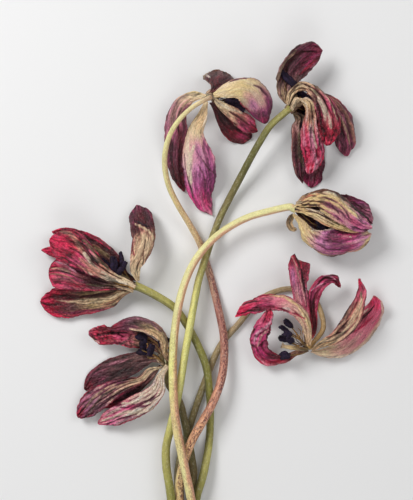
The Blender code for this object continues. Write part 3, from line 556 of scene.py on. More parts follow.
# where each flower meets its stem, what its skin has of its own, and its petals
tips = dict(
    a=(-0.5, 112, 21), b=(41.5, 107.5, 15), c=(44, 54.5, 14), d=(-40.5, 14.5, 11), e=(50.5, -18.5, 9),
    f=(-24.5, -26.5, 9))
petalSkins = dict(
    a=dict(veinTint=(0.74, 0.48, 0.56), veinStrength=0.45, netStrength=0.15, netDepth=0.3, mottle=0.3),
    b=dict(veinTint=(0.55, 0.32, 0.4), netStrength=0.35),
    c=dict(veinTint=(0.66, 0.45, 0.5), netStrength=0.3, mottle=0.4),
    d=dict(veinTint=(0.55, 0.28, 0.34), veinStrength=0.45, netStrength=0.3, mottle=0.4),
    e=dict(veinTint=(0.62, 0.3, 0.4), netStrength=0.3, mottle=0.4),
    f=dict(veinTint=(0.5, 0.28, 0.36), netStrength=0.35))
# each petal's colours are given as they look where it lies, so petals deep in the bunch or under others are painted
# darker, as painted shade
flowerA = dict(
    a1=dict(
        tones="butter cream butter cream blush damson plum", lift=1.34, streak=0.14, rim=("plum", 1.2, 0.6),
        widths=[(0, 1), (0.5, 1.05), (0.8, 1.14), (1, 1.1)], tipSpan=0.16, fold=0.3, crease=0.15, pleats=(3, 0.15),
        fissure=0.1, crestHighlights=[("ivory", 0.4, 0, 0.7)],
        patches=[("butter", 0.3, 0.1, 0.3, 0.7), ("blush", 0.52, 0.3, 0.16, 0.6), ("heather", 0.66, 0.4, 0.15, 0.5),
                 ("damson", 0.74, -0.6, 0.22, 0.35), ("plum", 0.86, 0.3, 0.12, 0.5),
                 ("magenta", 0.95, 0.2, 0.08, 0.8)],
        lines=[("plum", 0.7, -0.2, 9, 119.8, 14, 121.4, 20, 122.6),
               ("plum", 0.9, -0.2, 21.5, 118.5, 25.5, 116.8, 29, 113.2),
               ("cherry", 0.9, 0.2, 14, 110, 17.5, 107, 20, 103.5, 24, 98.5)]),
    a2=dict(
        tones="cream cream sand clay rose wine", lift=1.25, widths=[(0, 1), (0.35, 1.2), (0.8, 1.4), (1, 1.3)],
        tipSpan=0.2, crumple=(0.2, 0.4, 1), crestHighlights=[("cream", 0.5, 0, 0.6)], hollowShade=[("brown", 0.5, 0, 1)],
        patches=[("clay", 0.55, -0.3, 0.2, 0.5), ("magenta", 0.7, 0.4, 0.2, 0.6), ("wine", 0.92, 0, 0.12, 1)],
        lines=[("ivory", 0.9, 0.3, 2, 110, 10, 106.5, 16, 104.5), ("maroon", 0.8, -0.3, 9, 105.5, 15, 102, 20, 98.5)]),
    a3=dict(
        tones="cream straw cream blush heather damson fuchsia mauve", lift=1.34, streak=0.16, rim=("plum", 0.7, 0.4),
        fold=0.15, crease=0.1, pleats=(1, 0.35), ruffle=0.5, fissure=0.12, crestHighlights=[("lilac", 0.35, 0.35, 0.95)],
        hollowShade=[("damson", 0.5, 0.35, 1)],
        patches=[("heather", 0.42, -0.2, 0.12, 0.6), ("damson", 0.4, -0.8, 0.14, 0.25),
                 ("ivory", 0.52, 0.65, 0.3, 0.3), ("heather", 0.6, 0, 0.14, 0.4), ("damson", 0.66, -0.6, 0.25, 0.4),
                 ("magenta", 0.85, -0.2, 0.12, 0.6)],
        lines=[("ivory", 1.7, 0.2, -9, 88, -11, 82, -11.8, 75, -10.5, 68),
               ("plum", 0.5, -0.2, -14.2, 84, -13.6, 76, -12, 69, -9.5, 62),
               ("plum", 0.6, -0.2, -6, 82, -2, 76, 2, 73), ("plum", 0.6, -0.2, -7, 78, -4, 72, -3, 66),
               ("ivory", 0.7, 0.3, -1, 106, -3, 101, -4.6, 97)]),
    a4=dict(
        tones="cream cream taupe mauve plum plum maroon crimson", lift=1.3, streak=0.14, fold=0.4, crease=0.2,
        crestHighlights=[("orchid", 0.3, 0.25, 0.7)], hollowShade=[("maroon", 0.45, 0.4, 1)],
        patches=[("taupe", 0.35, 0.2, 0.15, 0.6), ("plum", 0.3, -0.7, 0.15, 0.4), ("maroon", 0.62, -0.4, 0.3, 0.6),
                 ("mauve", 0.5, 0.7, 0.15, 0.3)],
        lines=[("butter", 0.9, 0.3, -14, 115, -9, 115.5, -5, 114), ("ash", 0.8, 0.2, -16, 108, -18, 102, -19.5, 96)]),
    a5=dict(
        tones="brown maroon maroon dusk brown", rim=("tan", 1.8, 0.8),
        widths=[(0, 0.4), (0.3, 0.5), (0.5, 0.95), (1, 1)], fold=0.4,
        patches=[("dusk", 0.75, -0.2, 0.25, 0.7), ("maroon", 0.6, 0.3, 0.2, 0.5)],
        lines=[("white", 0.9, 0.3, -2.8, 125.2, -0.7, 123.0), ("cream", 0.7, 0.3, -5, 122.5, -3, 126, -1, 127)]),
    a6=dict(
        tones="maroon maroon wine maroon", widths=[(0, 1), (0.6, 1.1), (0.85, 1.12), (0.97, 1.4), (1, 1.5)],
        tipSpan=0.1,
        patches=[("fig", 0.4, 0, 0.3, 0.8), ("magenta", 0.85, 0.2, 0.15, 0.7)],
        lines=[("cream", 0.8, 0.2, 11.5, 101, 13, 98)]))
flowerB = dict(
    b1=dict(
        tones="straw taupe dusk plum magenta", rim=("taupe", 1.0, 0.6), fold=0.7, crestHighlights=[("mauve", 0.5, 0.1, 1)],
        hollowShade=[("maroon", 0.6, 0.1, 1)],
        patches=[("straw", 0.15, 0, 0.14, 0.6), ("mauve", 0.55, 0.3, 0.25, 0.4), ("maroon", 0.5, -0.4, 0.25, 0.25),
                 ("magenta", 0.78, 0.4, 0.2, 0.5), ("berry", 0.96, 0, 0.06, 0.8)],
        lines=[("crimson", 1.0, 0.3, 57, 135, 51, 129, 46, 124.5),
               ("maroon", 1.0, -0.7, 38, 125, 41, 131, 47, 136.8, 54, 137.2),
               ("sand", 1.0, 0.3, 34, 114, 34.5, 124, 38, 131.5, 44, 137.5),
               ("berry", 1.0, 0.4, 52, 139, 57, 138.5, 60.5, 135.5)]),
    b2=dict(
        tones="cream straw sand rose crimson cherry", lift=1.35, widths=[(0, 1), (0.7, 1.1), (0.9, 1.25), (1, 1.2)],
        tipSpan=0.05, nicks=0.12, fold=0.9, crease=0.4, pleats=(3, 0.5), crumple=(0.4, 0.75, 1),
        crestHighlights=[("cream", 0.7, 0, 0.75), ("ember", 0.5, 0.8, 1)],
        hollowShade=[("maroon", 0.75, 0.15, 1), ("olive", 0.5, 0, 0.3)],
        patches=[("maroon", 0.45, -0.4, 0.2, 0.2), ("ivory", 0.6, 0.1, 0.2, 0.25), ("plum", 0.6, -0.75, 0.2, 0.25),
                 ("crimson", 0.85, 0, 0.12, 1), ("ember", 0.95, 0, 0.06, 0.8)],
        lines=[("ivory", 1.9, 0.6, 55, 112, 58, 108, 61, 102, 62.5, 96.5),
               ("cream", 0.9, 0.4, 43, 115.5, 46, 118.5, 51, 118, 55, 113),
               ("maroon", 0.7, -0.5, 48, 119, 54, 116, 59, 110, 63, 102, 64, 97),
               ("maroon", 0.6, -0.5, 51, 120, 58, 116, 63, 108, 66, 101),
               ("cream", 0.7, 0.4, 52, 119.5, 58, 115, 62, 109, 65, 101),
               ("maroon", 0.9, -0.5, 54, 111, 56, 105, 57, 98)]),
    b3=dict(
        tones="tan salmon clay plum plum rose", lift=1.3,
        widths=[(0, 1), (0.7, 1), (0.85, 1.06), (0.97, 1.4), (1, 1.5)], tipSpan=0.1, fold=0.8,
        crestHighlights=[("salmon", 0.6, 0, 0.75)], hollowShade=[("maroon", 0.7, 0.15, 1)],
        patches=[("salmon", 0.4, -0.3, 0.25, 0.4), ("mauve", 0.6, -0.2, 0.2, 0.5), ("maroon", 0.6, 0.6, 0.3, 0.3),
                 ("plum", 0.9, 0, 0.12, 1)],
        lines=[("salmon", 1.3, 0.4, 65.5, 110.5, 70, 105, 73, 99, 75.5, 90),
               ("sand", 0.7, 0.4, 63, 108, 68, 102, 71.5, 95, 73, 89),
               ("maroon", 0.9, -0.6, 63, 105, 68, 99, 70.5, 92)]),
    b4=dict(
        tones="cream cream straw salmon rose cherry cherry", lift=1.38, fold=0.9, crease=0.4, pleats=(3, 0.4),
        crumple=(0.4, 0.5, 1), crestHighlights=[("ivory", 0.7, 0, 0.5), ("lilac", 0.65, 0.45, 1)],
        hollowShade=[("olive", 0.6, 0, 0.4), ("wine", 0.7, 0.4, 1)],
        patches=[("cherry", 0.55, 0.6, 0.2, 0.4), ("orchid", 0.6, -0.2, 0.15, 0.4), ("cherry", 0.8, 0.3, 0.15, 0.6),
                 ("ember", 0.93, 0, 0.08, 1)],
        lines=[("ivory", 1.0, 0.5, 53, 101, 53, 96, 53.5, 90, 55, 86), ("lilac", 0.9, 0.4, 54, 84, 55, 80, 53.5, 75),
               ("plum", 0.9, -0.5, 51.5, 97, 51.5, 91, 53, 85), ("fig", 0.5, -0.4, 55.5, 97, 56, 90, 57.5, 85)]),
    b5=dict(
        tones="olive taupe dusk plum maroon", widths=[(0, 1.8), (0.2, 1.4), (0.4, 1)], tipSpan=0.2,
        hollowShade=[("maroon", 0.5, 0, 1)],
        patches=[("maroon", 0.55, 0.4, 0.4, 0.5), ("taupe", 0.5, -0.5, 0.3, 0.4)],
        lines=[("olive", 1.0, 0.3, 46, 95, 46, 84, 48.5, 77),
               ("clay", 0.6, 0.3, 43.5, 97, 42.3, 90, 42.5, 82, 45, 73)]),
    b6=dict(
        tones="maroon maroon plum magenta",
        widths=[(0, 1.6), (0.25, 1.2), (0.5, 1), (0.85, 1.06), (0.97, 1.5), (1, 1.6)], tipSpan=0.1,
        patches=[("plum", 0.75, 0.4, 0.2, 0.5), ("maroon", 0.8, -0.4, 0.2, 0.5)]))
flowerC = dict(
    c1=dict(
        tones="straw butter butter butter blush heather orchid", lift=1.42, rim=("brown", 0.8, 0.4),
        widths=[(0, 1), (0.7, 1.1), (0.9, 1.5), (1, 1.5)], tipSpan=0.05, fold=0.7, pleats=(4, 0.35), fissure=0.8,
        fissureGap=1.6, crestHighlights=[("ivory", 0.7, 0, 0.5), ("blush", 0.55, 0.5, 1)],
        hollowShade=[("brown", 0.8, 0, 0.45), ("damson", 0.8, 0.4, 1)],
        patches=[("butter", 0.3, -0.2, 0.25, 0.6), ("salmon", 0.44, 0.2, 0.1, 0.3), ("damson", 0.6, 0.55, 0.2, 0.4),
                 ("rose", 0.8, 0.2, 0.2, 0.5), ("butter", 0.6, -0.6, 0.3, 0.35), ("olive", 0.35, -0.95, 0.3, 0.12)],
        lines=[("brown", 0.6, -0.3, 46, 57, 50, 58.5, 56, 58, 60, 56.5),
               ("fig", 0.9, -0.8, 46, 56, 50, 56.8, 54, 55.5, 58, 53.5),
               ("plum", 0.6, -0.3, 61, 57.5, 64, 54, 66, 51), ("plum", 0.6, -0.3, 66, 57, 69, 53.5, 71, 50, 74, 47),
               ("olive", 0.8, -0.5, 50, 63.5, 57, 65, 64, 63.2, 69, 58.5),
               ("ivory", 0.8, 0.4, 50, 61.5, 57, 63.2, 63, 61.8, 70, 56, 76, 49),
               ("butter", 0.8, 0.4, 64, 60, 70, 54.5, 75, 50), ("coral", 0.7, 0.2, 47, 58.5, 51, 61, 56, 62)]),
    c2=dict(
        tones="straw butter cream butter butter cream", lift=1.42, widths=[(0, 1), (0.6, 1.1), (1, 1.5)], fold=0.8,
        pleats=(4, 0.4), fissure=0.9, crestHighlights=[("butter", 0.8, 0, 1)], hollowShade=[("brown", 0.8, 0, 1)],
        patches=[("cream", 0.5, 0, 0.4, 0.6)],
        lines=[("fig", 0.6, -0.5, 48, 53.5, 55, 52.2, 62, 49, 70, 45.5),
               ("fig", 0.6, -0.5, 50, 55, 57, 53.6, 63, 50, 68, 47),
               ("ivory", 0.7, 0.4, 49, 54.6, 56, 53, 62, 50, 69, 46)]),
    c3=dict(
        tones="butter butter cream heather damson magenta heather cream", lift=1.36, streak=0.16,
        rim=("taupe", 0.8, 0.4), widths=[(0, 1), (0.75, 1.06), (0.92, 1.5), (1, 1.5)], tipSpan=0.05, fold=0.3,
        pleats=(4, 0.15), fissure=0.2, crestHighlights=[("ivory", 0.6, 0, 0.4), ("blush", 0.5, 0.35, 0.9)],
        hollowShade=[("brown", 0.4, 0, 0.35), ("plum", 0.4, 0.3, 1)],
        patches=[("butter", 0.24, 0.1, 0.24, 0.8), ("heather", 0.42, -0.2, 0.12, 0.5),
                 ("plum", 0.56, -0.45, 0.14, 0.35), ("damson", 0.66, -0.1, 0.14, 0.5),
                 ("magenta", 0.8, -0.6, 0.16, 0.4), ("butter", 0.55, 0.85, 0.4, 0.3)],
        lines=[("butter", 1.6, 0.2, 47, 44, 49, 37, 54, 31, 60, 27.6, 66, 26, 72, 29, 78, 33, 83, 40),
               ("plum", 0.6, -0.3, 50, 40, 54, 36.5, 60, 33.5, 68, 33),
               ("brown", 0.5, -0.4, 46, 44, 48, 38, 52, 34, 58, 31.5),
               ("plum", 0.5, -0.3, 54, 31.5, 59, 30, 66, 29.8, 72, 32),
               ("brown", 0.4, -0.3, 52, 31, 58, 28.5, 66, 27.5), ("ivory", 0.8, 0.4, 52, 43, 58, 43.6, 64, 44),
               ("plum", 0.8, -0.3, 60, 40, 63, 37.5, 68, 36.5), ("ivory", 0.7, 0.3, 71.8, 40, 73, 39.6)]),
    c4=dict(
        tones="brown dusk maroon plum damson mauve", lift=1.3,
        patches=[("maroon", 0.6, -0.7, 0.2, 0.5), ("mauve", 0.88, -0.5, 0.12, 0.5), ("ash", 0.76, -0.3, 0.1, 0.4)],
        lines=[("plum", 0.5, -0.2, 75, 53, 80, 52.5, 84, 51), ("maroon", 0.6, -0.3, 74, 59, 79, 56, 83, 53)]),
    c5=dict(
        tones="straw brown dusk fig", pleats=(4, 0.3), crestHighlights=[("tan", 0.5, 0, 0.8)], hollowShade=[("fig", 0.7, 0, 1)]),
    c6=dict(
        tones="olive olive straw olive", rim=("cream", 0.8, 0.7), hollowShade=[("fig", 0.6, 0, 1)]))
flowerD = dict(
    d1=dict(
        tones="tan straw straw olive dusk crimson cherry", lift=1.4, rim=("cherry", 1.4, 0.9),
        widths=[(0, 1), (0.3, 1.12), (0.7, 1.12), (1, 1.04)],
        crestHighlights=[("cream", 0.7, 0, 0.35), ("straw", 0.5, 0.3, 0.7)],
        hollowShade=[("maroon", 0.6, 0.3, 1), ("brown", 0.6, 0, 0.3)],
        patches=[("straw", 0.3, 0.2, 0.2, 0.6), ("olive", 0.5, 0.2, 0.2, 0.3), ("maroon", 0.72, 0.3, 0.16, 0.5),
                 ("crimson", 0.6, -0.75, 0.3, 0.3), ("cherry", 0.95, 0, 0.07, 1)],
        lines=[("cream", 0.9, 0.4, -46, 11, -48, 10, -56, 7.5, -66, 6.5, -76, 5.5, -83, 6.5),
               ("cream", 0.6, 0.4, -50, 8.5, -58, 5.8, -66, 4.8, -72, 5),
               ("maroon", 0.8, -0.5, -52, 10.5, -62, 9.5, -70, 7.8, -80, 8.5),
               ("cherry", 0.8, 0.3, -90, 6, -87, 11, -82, 12.5, -74, 12),
               ("magenta", 1.0, 0.1, -56, 1.5, -66, 0.5, -76, -1, -84, 0)]),
    d2=dict(
        tones="cream brown dusk plum rose cherry", lift=1.4, rim=("cherry", 1.1, 0.8),
        widths=[(0, 1), (0.4, 1.12), (1, 1.05)], fold=0.8, pleats=(4, 0.4),
        crestHighlights=[("cream", 0.7, 0, 0.25), ("clay", 0.5, 0.45, 0.95)], hollowShade=[("maroon", 0.7, 0.2, 1)],
        patches=[("maroon", 0.5, 0, 0.2, 0.5), ("crimson", 0.65, -0.6, 0.25, 0.35), ("magenta", 0.6, 0.6, 0.2, 0.3),
                 ("ash", 0.82, 0.2, 0.1, 0.4)],
        lines=[("salmon", 0.8, 0.4, -85, 20.5, -78, 20, -72, 17.5), ("sand", 0.7, 0.3, -86, 23, -80, 23.5, -74, 21.5),
               ("lilac", 0.6, 0.3, -83, 27, -76, 25, -71, 21), ("olive", 0.9, 0.3, -66, 15, -60, 14.2, -52, 14.6),
               ("maroon", 0.7, -0.5, -86, 21.8, -79, 22, -72, 19.5)]),
    d3=dict(
        tones="cream cream salmon rose crimson cherry", lift=1.4, rim=("cherry", 1.0, 0.8), fissure=0.7,
        crumple=(0.2, 0.6, 1), crestHighlights=[("ivory", 0.9, 0, 0.5), ("rose", 0.4, 0.6, 1)],
        hollowShade=[("brown", 0.6, 0, 0.5), ("wine", 0.6, 0.4, 1)],
        patches=[("salmon", 0.42, -0.1, 0.14, 0.5), ("rose", 0.6, -0.5, 0.15, 0.5), ("russet", 0.72, 0.4, 0.12, 0.4),
                 ("cherry", 0.85, -0.1, 0.14, 0.8)],
        lines=[("salmon", 1.8, 0.5, -63, 26.5, -67, 32.5, -70.5, 38, -74, 41.5, -79, 42.5),
               ("ivory", 2.4, 0.75, -44, 15.2, -52, 18, -58, 21.5, -63, 26.5, -66.5, 31.5),
               ("fig", 0.7, -0.6, -46, 17, -52, 20, -58, 24.5, -62, 29.5, -65, 34, -68.5, 39.5),
               ("olive", 1.2, 0.4, -54, 23.5, -59, 28.5, -63, 34, -67, 38.5),
               ("fig", 0.5, -0.5, -52, 24, -58, 30, -62, 36), ("salmon", 1.0, 0.3, -56, 20.5, -64, 22.5, -70, 25.5),
               ("salmon", 1.8, 0.3, -58, 22, -64, 25.5, -69, 29)]),
    d4=dict(
        tones="brown maroon crimson crimson cherry", rim=("cherry", 1.0, 0.8), hollowShade=[("maroon", 0.6, 0, 1)]),
    d5=dict(
        tones="brown maroon dusk maroon crimson", rim=("cherry", 0.9, 0.9),
        patches=[("maroon", 0.6, 0.3, 0.3, 0.6), ("olive", 0.45, -0.2, 0.2, 0.4)],
        lines=[("straw", 0.6, 0.3, -62, 34.5, -58, 32.5, -54, 30.5),
               ("cherry", 0.6, 0.3, -72, 42.5, -66, 41.5, -60, 38, -53, 33.5)]),
    d6=dict(
        tones="cream cream sand sand maroon plum plum", lift=1.25, rim=("wine", 0.8, 0.5),
        widths=[(0, 1.4), (0.25, 1.6), (0.5, 1.15), (0.8, 1.02), (0.96, 1.3), (1, 1.4)], tipSpan=0.07, fold=0.8,
        fissure=0.3, crestHighlights=[("cream", 0.5, 0, 0.55)], hollowShade=[("brown", 0.6, 0, 0.55)],
        patches=[("cream", 0.4, 0.2, 0.25, 0.6), ("wine", 0.4, -0.85, 0.25, 0.2), ("maroon", 0.82, 0, 0.18, 1)],
        lines=[("cream", 0.8, 0.6, -40.5, 47, -36, 44.5, -33, 43, -30.5, 38),
               ("slate", 0.8, -0.5, -41, 49, -36, 46.5, -32.5, 45),
               ("brown", 0.6, -0.3, -36, 25, -35.5, 32, -34.5, 39), ("wine", 0.8, 0, -43, 46, -42, 38, -40.5, 30)]))
flowerE = dict(
    e1=dict(
        tones="straw cream cream blush pink rose cherry cherry", lift=1.4, rim=("cherry", 1.0, 0.5), nicks=0.13,
        fissure=0.25, crumple=(0.4, 0.75, 1), crestHighlights=[("cream", 0.4, 0, 0.5), ("blush", 0.4, 0.45, 1)],
        hollowShade=[("rose", 0.4, 0.2, 0.8), ("crimson", 0.5, 0.7, 1)],
        patches=[("cream", 0.3, 0.5, 0.2, 0.5), ("blush", 0.45, 0.2, 0.15, 0.6), ("pink", 0.56, 0.3, 0.12, 0.6),
                 ("crimson", 0.66, 0.8, 0.3, 0.3), ("magenta", 0.74, -0.3, 0.2, 0.5)],
        lines=[("cherry", 0.8, -0.3, 49, -3, 45, -1, 40, 1, 34, 3, 28, 3.5),
               ("butter", 0.9, 0.5, 30, 9.3, 38, 8.3, 44, 4.5, 49, -2, 51.5, -9), ("white", 0.9, 0.2, 37, 3, 41, 2),
               ("maroon", 0.7, -0.6, 15, 3.5, 20, 5.5, 26, 6.5), ("maroon", 0.6, -0.5, 14, -1, 20, 1, 27, 1.5)]),
    e2=dict(
        tones="brown tan crimson magenta fuchsia rose crimson", lift=1.4, rim=("cherry", 1.0, 0.6), nicks=0.09,
        fold=0.8, ruffle=1.1, crumple=(0.6, 0.55, 1), crestHighlights=[("pink", 0.5, 0.3, 1)], hollowShade=[("wine", 0.6, 0.2, 1)],
        patches=[("plum", 0.35, 0.3, 0.1, 0.5), ("fuchsia", 0.5, 0, 0.2, 0.6), ("orchid", 0.62, -0.4, 0.12, 0.4),
                 ("ember", 0.95, 0, 0.06, 1)],
        lines=[("lilac", 0.9, 0.5, 22.5, -15, 24, -10.5, 28, -7, 31, -4, 31.8, 0),
               ("blush", 0.7, 0.3, 24, -18, 26, -12, 29.5, -8), ("pink", 0.7, 0.4, 24, -23, 29, -27, 36, -28.5)]),
    e3=dict(
        tones="straw blush berry mauve berry crimson", lift=1.35, rim=("cherry", 1.0, 0.6),
        widths=[(0, 1), (0.7, 1.0), (0.9, 1.15), (1, 1.1)], tipSpan=0.03, slant=0.12, fold=0.35, pleats=(2, 0.3),
        fissure=0.3, crestHighlights=[("blush", 0.35, 0.2, 0.7)],
        patches=[("blush", 0.45, -0.5, 0.25, 0.4), ("heather", 0.75, -0.6, 0.2, 0.4), ("wine", 0.75, 0.5, 0.3, 0.5)],
        lines=[("blush", 0.6, 0.6, 41.7, 31, 44, 25, 46.3, 18, 48.3, 10, 50, 3),
               ("cherry", 0.7, 0.2, 42, 31.8, 47, 31, 51.5, 28, 51.5, 22),
               ("fig", 0.8, -0.6, 43.5, 31, 46, 25, 48, 18, 49.5, 10)]),
    e4=dict(
        tones="straw crimson crimson magenta rose magenta wine", rim=("cherry", 1.0, 0.6), crumple=(0.2, 0.5, 1),
        crestHighlights=[("pink", 0.35, 0.3, 1)], hollowShade=[("maroon", 0.6, 0.05, 1)],
        patches=[("wine", 0.5, 0.4, 0.2, 0.5), ("magenta", 0.65, -0.3, 0.2, 0.5), ("rose", 0.85, -0.3, 0.1, 0.6)],
        lines=[("lilac", 0.6, 0.4, 52, 12, 56, 14.5, 60, 16), ("lilac", 0.7, 0.4, 58, 20, 62, 19.5, 65, 17.5),
               ("maroon", 0.9, -0.5, 56, 16.5, 60, 18.4, 64, 18)]),
    e5=dict(
        tones="straw straw sand cream salmon berry cherry", lift=1.35, rim=("crimson", 1.0, 0.6), fissure=0.6,
        crestHighlights=[("cream", 0.5, 0, 0.85)], hollowShade=[("brown", 0.5, 0, 0.5), ("wine", 0.6, 0.4, 1)],
        patches=[("cream", 0.5, 0.4, 0.25, 0.4), ("wine", 0.62, -0.5, 0.22, 0.35), ("berry", 0.85, 0, 0.12, 0.8)],
        lines=[("cream", 0.8, 0.4, 58, -15.5, 66, -12.5, 72, -7), ("cream", 0.9, 0.4, 76.5, -2, 78.5, 5, 78.3, 11),
               ("sand", 0.7, 0.3, 70, -8, 75, -2, 77, 6), ("maroon", 0.9, -0.5, 66, -6, 70, 0, 73, 6, 76, 11),
               ("maroon", 0.6, -0.4, 60, -13, 68, -10), ("berry", 0.7, 0.3, 81.5, 3, 81.5, 9, 79, 15)]),
    e6=dict(
        tones="cream cream blush pink berry berry cherry", lift=1.46, streak=0.14, rim=("cream", 0.8, 0.6),
        widths=[(0, 1), (0.5, 1.1), (1, 1.15)], fold=0.35, pleats=(4, 0.2), fissure=0.4,
        crestHighlights=[("cream", 0.5, 0, 0.6)],
        patches=[("blush", 0.4, 0.1, 0.2, 0.5), ("cream", 0.5, 0.85, 0.4, 0.25), ("pink", 0.62, 0.4, 0.2, 0.4),
                 ("maroon", 0.7, -0.55, 0.2, 0.45), ("rose", 0.93, 0.2, 0.06, 1)],
        lines=[("ivory", 1.0, 0.3, 58, -23, 66, -23.5, 74, -22, 82, -16, 88, -8, 90.5, 0, 89, 6),
               ("maroon", 0.7, -0.6, 72, -9, 77, -5, 82, -1, 86, 4),
               ("ivory", 0.9, 0.5, 73.8, -5, 77, -2.5, 80, -0.4, 83, 2.2),
               ("cherry", 0.8, 0.4, 75, -10.5, 80.5, -6.5, 85.5, -1.5), ("maroon", 0.5, -0.4, 75, -8, 78, -6, 81, -2)]))
flowerF = dict(
    f1=dict(
        tones="taupe straw straw straw dusk plum crimson", lift=1.35, rim=("mauve", 1.2, 0.7), fold=0.35,
        crestHighlights=[("sand", 0.3, 0, 0.7)],
        patches=[("straw", 0.5, -0.1, 0.25, 0.4), ("mauve", 0.55, 0.8, 0.3, 0.2), ("plum", 0.75, -0.4, 0.15, 0.5)],
        lines=[("cream", 0.6, 0.4, -30, -12, -36, -9.3, -43, -8.2), ("plum", 0.7, -0.5, -30, -14, -37, -11, -46, -10),
               ("mauve", 0.8, 0.3, -26, -10, -32, -5, -40, -2.6, -46, -5)]),
    f2=dict(
        tones="brown tan tan rose crimson rose", rim=("ember", 1.0, 0.5),
        widths=[(0, 1), (0.7, 1), (0.95, 1.35), (1, 1.3)], tipSpan=0.04, nicks=0.18, fold=0.9, crease=0.4, ruffle=1.5,
        crumple=(0.7, 0.45, 1), crestHighlights=[("salmon", 0.4, 0.2, 1)], hollowShade=[("maroon", 0.6, 0, 1)],
        patches=[("tan", 0.4, 0, 0.15, 0.6), ("rose", 0.65, 0, 0.15, 0.6), ("ember", 0.93, 0, 0.08, 1)],
        lines=[("ivory", 0.8, 0.3, -64, -13, -61.5, -14.5, -59, -16),
               ("ash", 0.7, 0.5, -56, -17, -50, -18, -45, -15, -42, -12),
               ("fig", 0.8, -0.6, -56, -12, -50, -10.5, -44, -10.5)]),
    f3=dict(
        tones="taupe ash dusk dusk plum maroon", streak=0.14, rim=("crimson", 1.2, 0.6), fold=0.5, fissure=0.3,
        crestHighlights=[("ash", 0.4, 0.1, 0.9)], hollowShade=[("fig", 0.5, 0, 1)],
        patches=[("taupe", 0.3, 0.3, 0.2, 0.4), ("mauve", 0.55, 0.5, 0.2, 0.25), ("fig", 0.6, -0.3, 0.25, 0.5),
                 ("wine", 0.93, 0, 0.08, 1)]),
    f4=dict(
        tones="cream cream tan plum plum mauve crimson", rim=("cherry", 1.0, 0.9),
        widths=[(0, 1), (0.6, 1), (1, 1.15)], tipSpan=0.06, nicks=0.1, fold=0.9, crease=0.45, pleats=(5, 0.45),
        fissure=0.7, crestHighlights=[("cream", 0.7, 0.05, 0.75), ("heather", 0.6, 0.7, 1)],
        hollowShade=[("maroon", 0.85, 0.15, 1)],
        patches=[("dusk", 0.5, -0.5, 0.3, 0.4), ("plum", 0.75, 0, 0.15, 0.6), ("crimson", 0.95, 0, 0.06, 1)],
        lines=[("sand", 0.7, 0.5, -44, -37, -52, -39.5, -58, -44, -64, -51),
               ("sand", 0.6, 0.4, -50, -37, -57, -40.5, -63, -45.5, -67, -51),
               ("blush", 0.5, 0.4, -54, -44, -60, -48, -65, -54),
               ("fig", 0.8, -0.5, -50, -39.5, -57, -43.5, -62, -49),
               ("sand", 0.8, 0.5, -30, -32.5, -34, -34, -38, -36, -44, -38)]),
    f5=dict(
        tones="cream ivory ivory ivory blush orchid rose", lift=1.42, rim=("cherry", 1.0, 0.6), fold=0.9, crease=0.4,
        pleats=(5, 0.45), fissure=0.3, crestHighlights=[("white", 1.0, 0, 0.85), ("blush", 0.7, 0.75, 1)],
        hollowShade=[("magenta", 1.0, 0.25, 1), ("taupe", 0.35, 0, 0.3)],
        patches=[("ivory", 0.3, 0, 0.25, 0.8), ("blush", 0.5, 0.3, 0.14, 0.4), ("fuchsia", 0.66, 0.3, 0.14, 0.5),
                 ("magenta", 0.84, 0.3, 0.13, 0.6)],
        lines=[("ivory", 1.2, 0.5, -28, -38, -33, -44, -40, -47, -47, -48),
               ("ivory", 1.1, 0.5, -30, -50, -38, -52, -45, -52, -52, -55.5, -58, -57),
               ("lilac", 0.5, 0.4, -36, -53, -43, -55, -50, -58), ("plum", 0.9, -0.5, -27, -43, -32, -46, -36, -46.5),
               ("magenta", 1.0, -0.4, -32, -48, -40, -49.5, -48, -50), ("magenta", 1.0, -0.4, -42, -54, -50, -56.5)]),
    f6=dict(
        tones="brown taupe maroon plum crimson plum", fold=0.8, crease=0.4, crestHighlights=[("clay", 0.4, 0.3, 1)],
        hollowShade=[("fig", 0.6, 0, 1)],
        patches=[("plum", 0.6, 0, 0.3, 0.6)]))
flowers = dict(a=flowerA, b=flowerB, c=flowerC, d=flowerD, e=flowerE, f=flowerF)


def placed(point):
    return Vector((point[0] - bunchCentre[0], point[1] - bunchCentre[1], point[2])) * mm


# points in mm from x, y, height, x, y, height
def placedAll(numbers):
    return np.array([placed(numbers[k:k + 3]) for k in range(0, len(numbers), 3)]) / mm


for letter, petals in flowers.items():
    skin = skinMaterial("wilted petal " + letter, petalSkins[letter])
    for count, (name, petal) in enumerate(petals.items()):
        piece = makeTepal("tepal_" + name, petal, placed(tips[letter]), skin, count * 13 + ord(letter) * 7)
        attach(piece, "root")
        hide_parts("tepal_" + name)
    print("flower", letter, "petals made")


# a tube around a middle line: its rings of corners, and at each corner the way along in mm, the turn and the way out;
# widen(share, along, turn) scales the radius
def ringsAround(middle, radius, sides, widen):
    ahead = np.gradient(middle, axis=0)
    ahead /= np.linalg.norm(ahead, axis=1)[:, None]
    side = np.cross(ahead[0], (0.31, 0.17, 0.93))  # any way that no middle line starts in
    steps = np.linalg.norm(np.diff(middle, axis=0), axis=1)
    along = np.repeat(np.concatenate([[0], np.cumsum(steps)])[:, None], sides, 1)
    turn = np.repeat(np.linspace(0, 2 * pi, sides, endpoint=False)[None], len(middle), 0)
    outward = []
    for i in range(len(middle)):
        side = side - ahead[i] * (side @ ahead[i])
        side /= np.linalg.norm(side)
        outward.append(np.cos(turn[i])[:, None] * side + np.sin(turn[i])[:, None] * np.cross(ahead[i], side))
    share = np.repeat(np.arange(len(middle))[:, None] / (len(middle) - 1), sides, 1)
    reach = radius[:, None] * widen(share, along, turn)
    outward = np.array(outward)
    return middle[:, None] + outward * reach[..., None], along, turn, outward


# where a skin's effects lie on a tube; girth stretches them around it
def tubeFlow(along, turn, girth, seed):
    return np.stack([along, girth * turn, np.full(along.shape, seed)], -1)


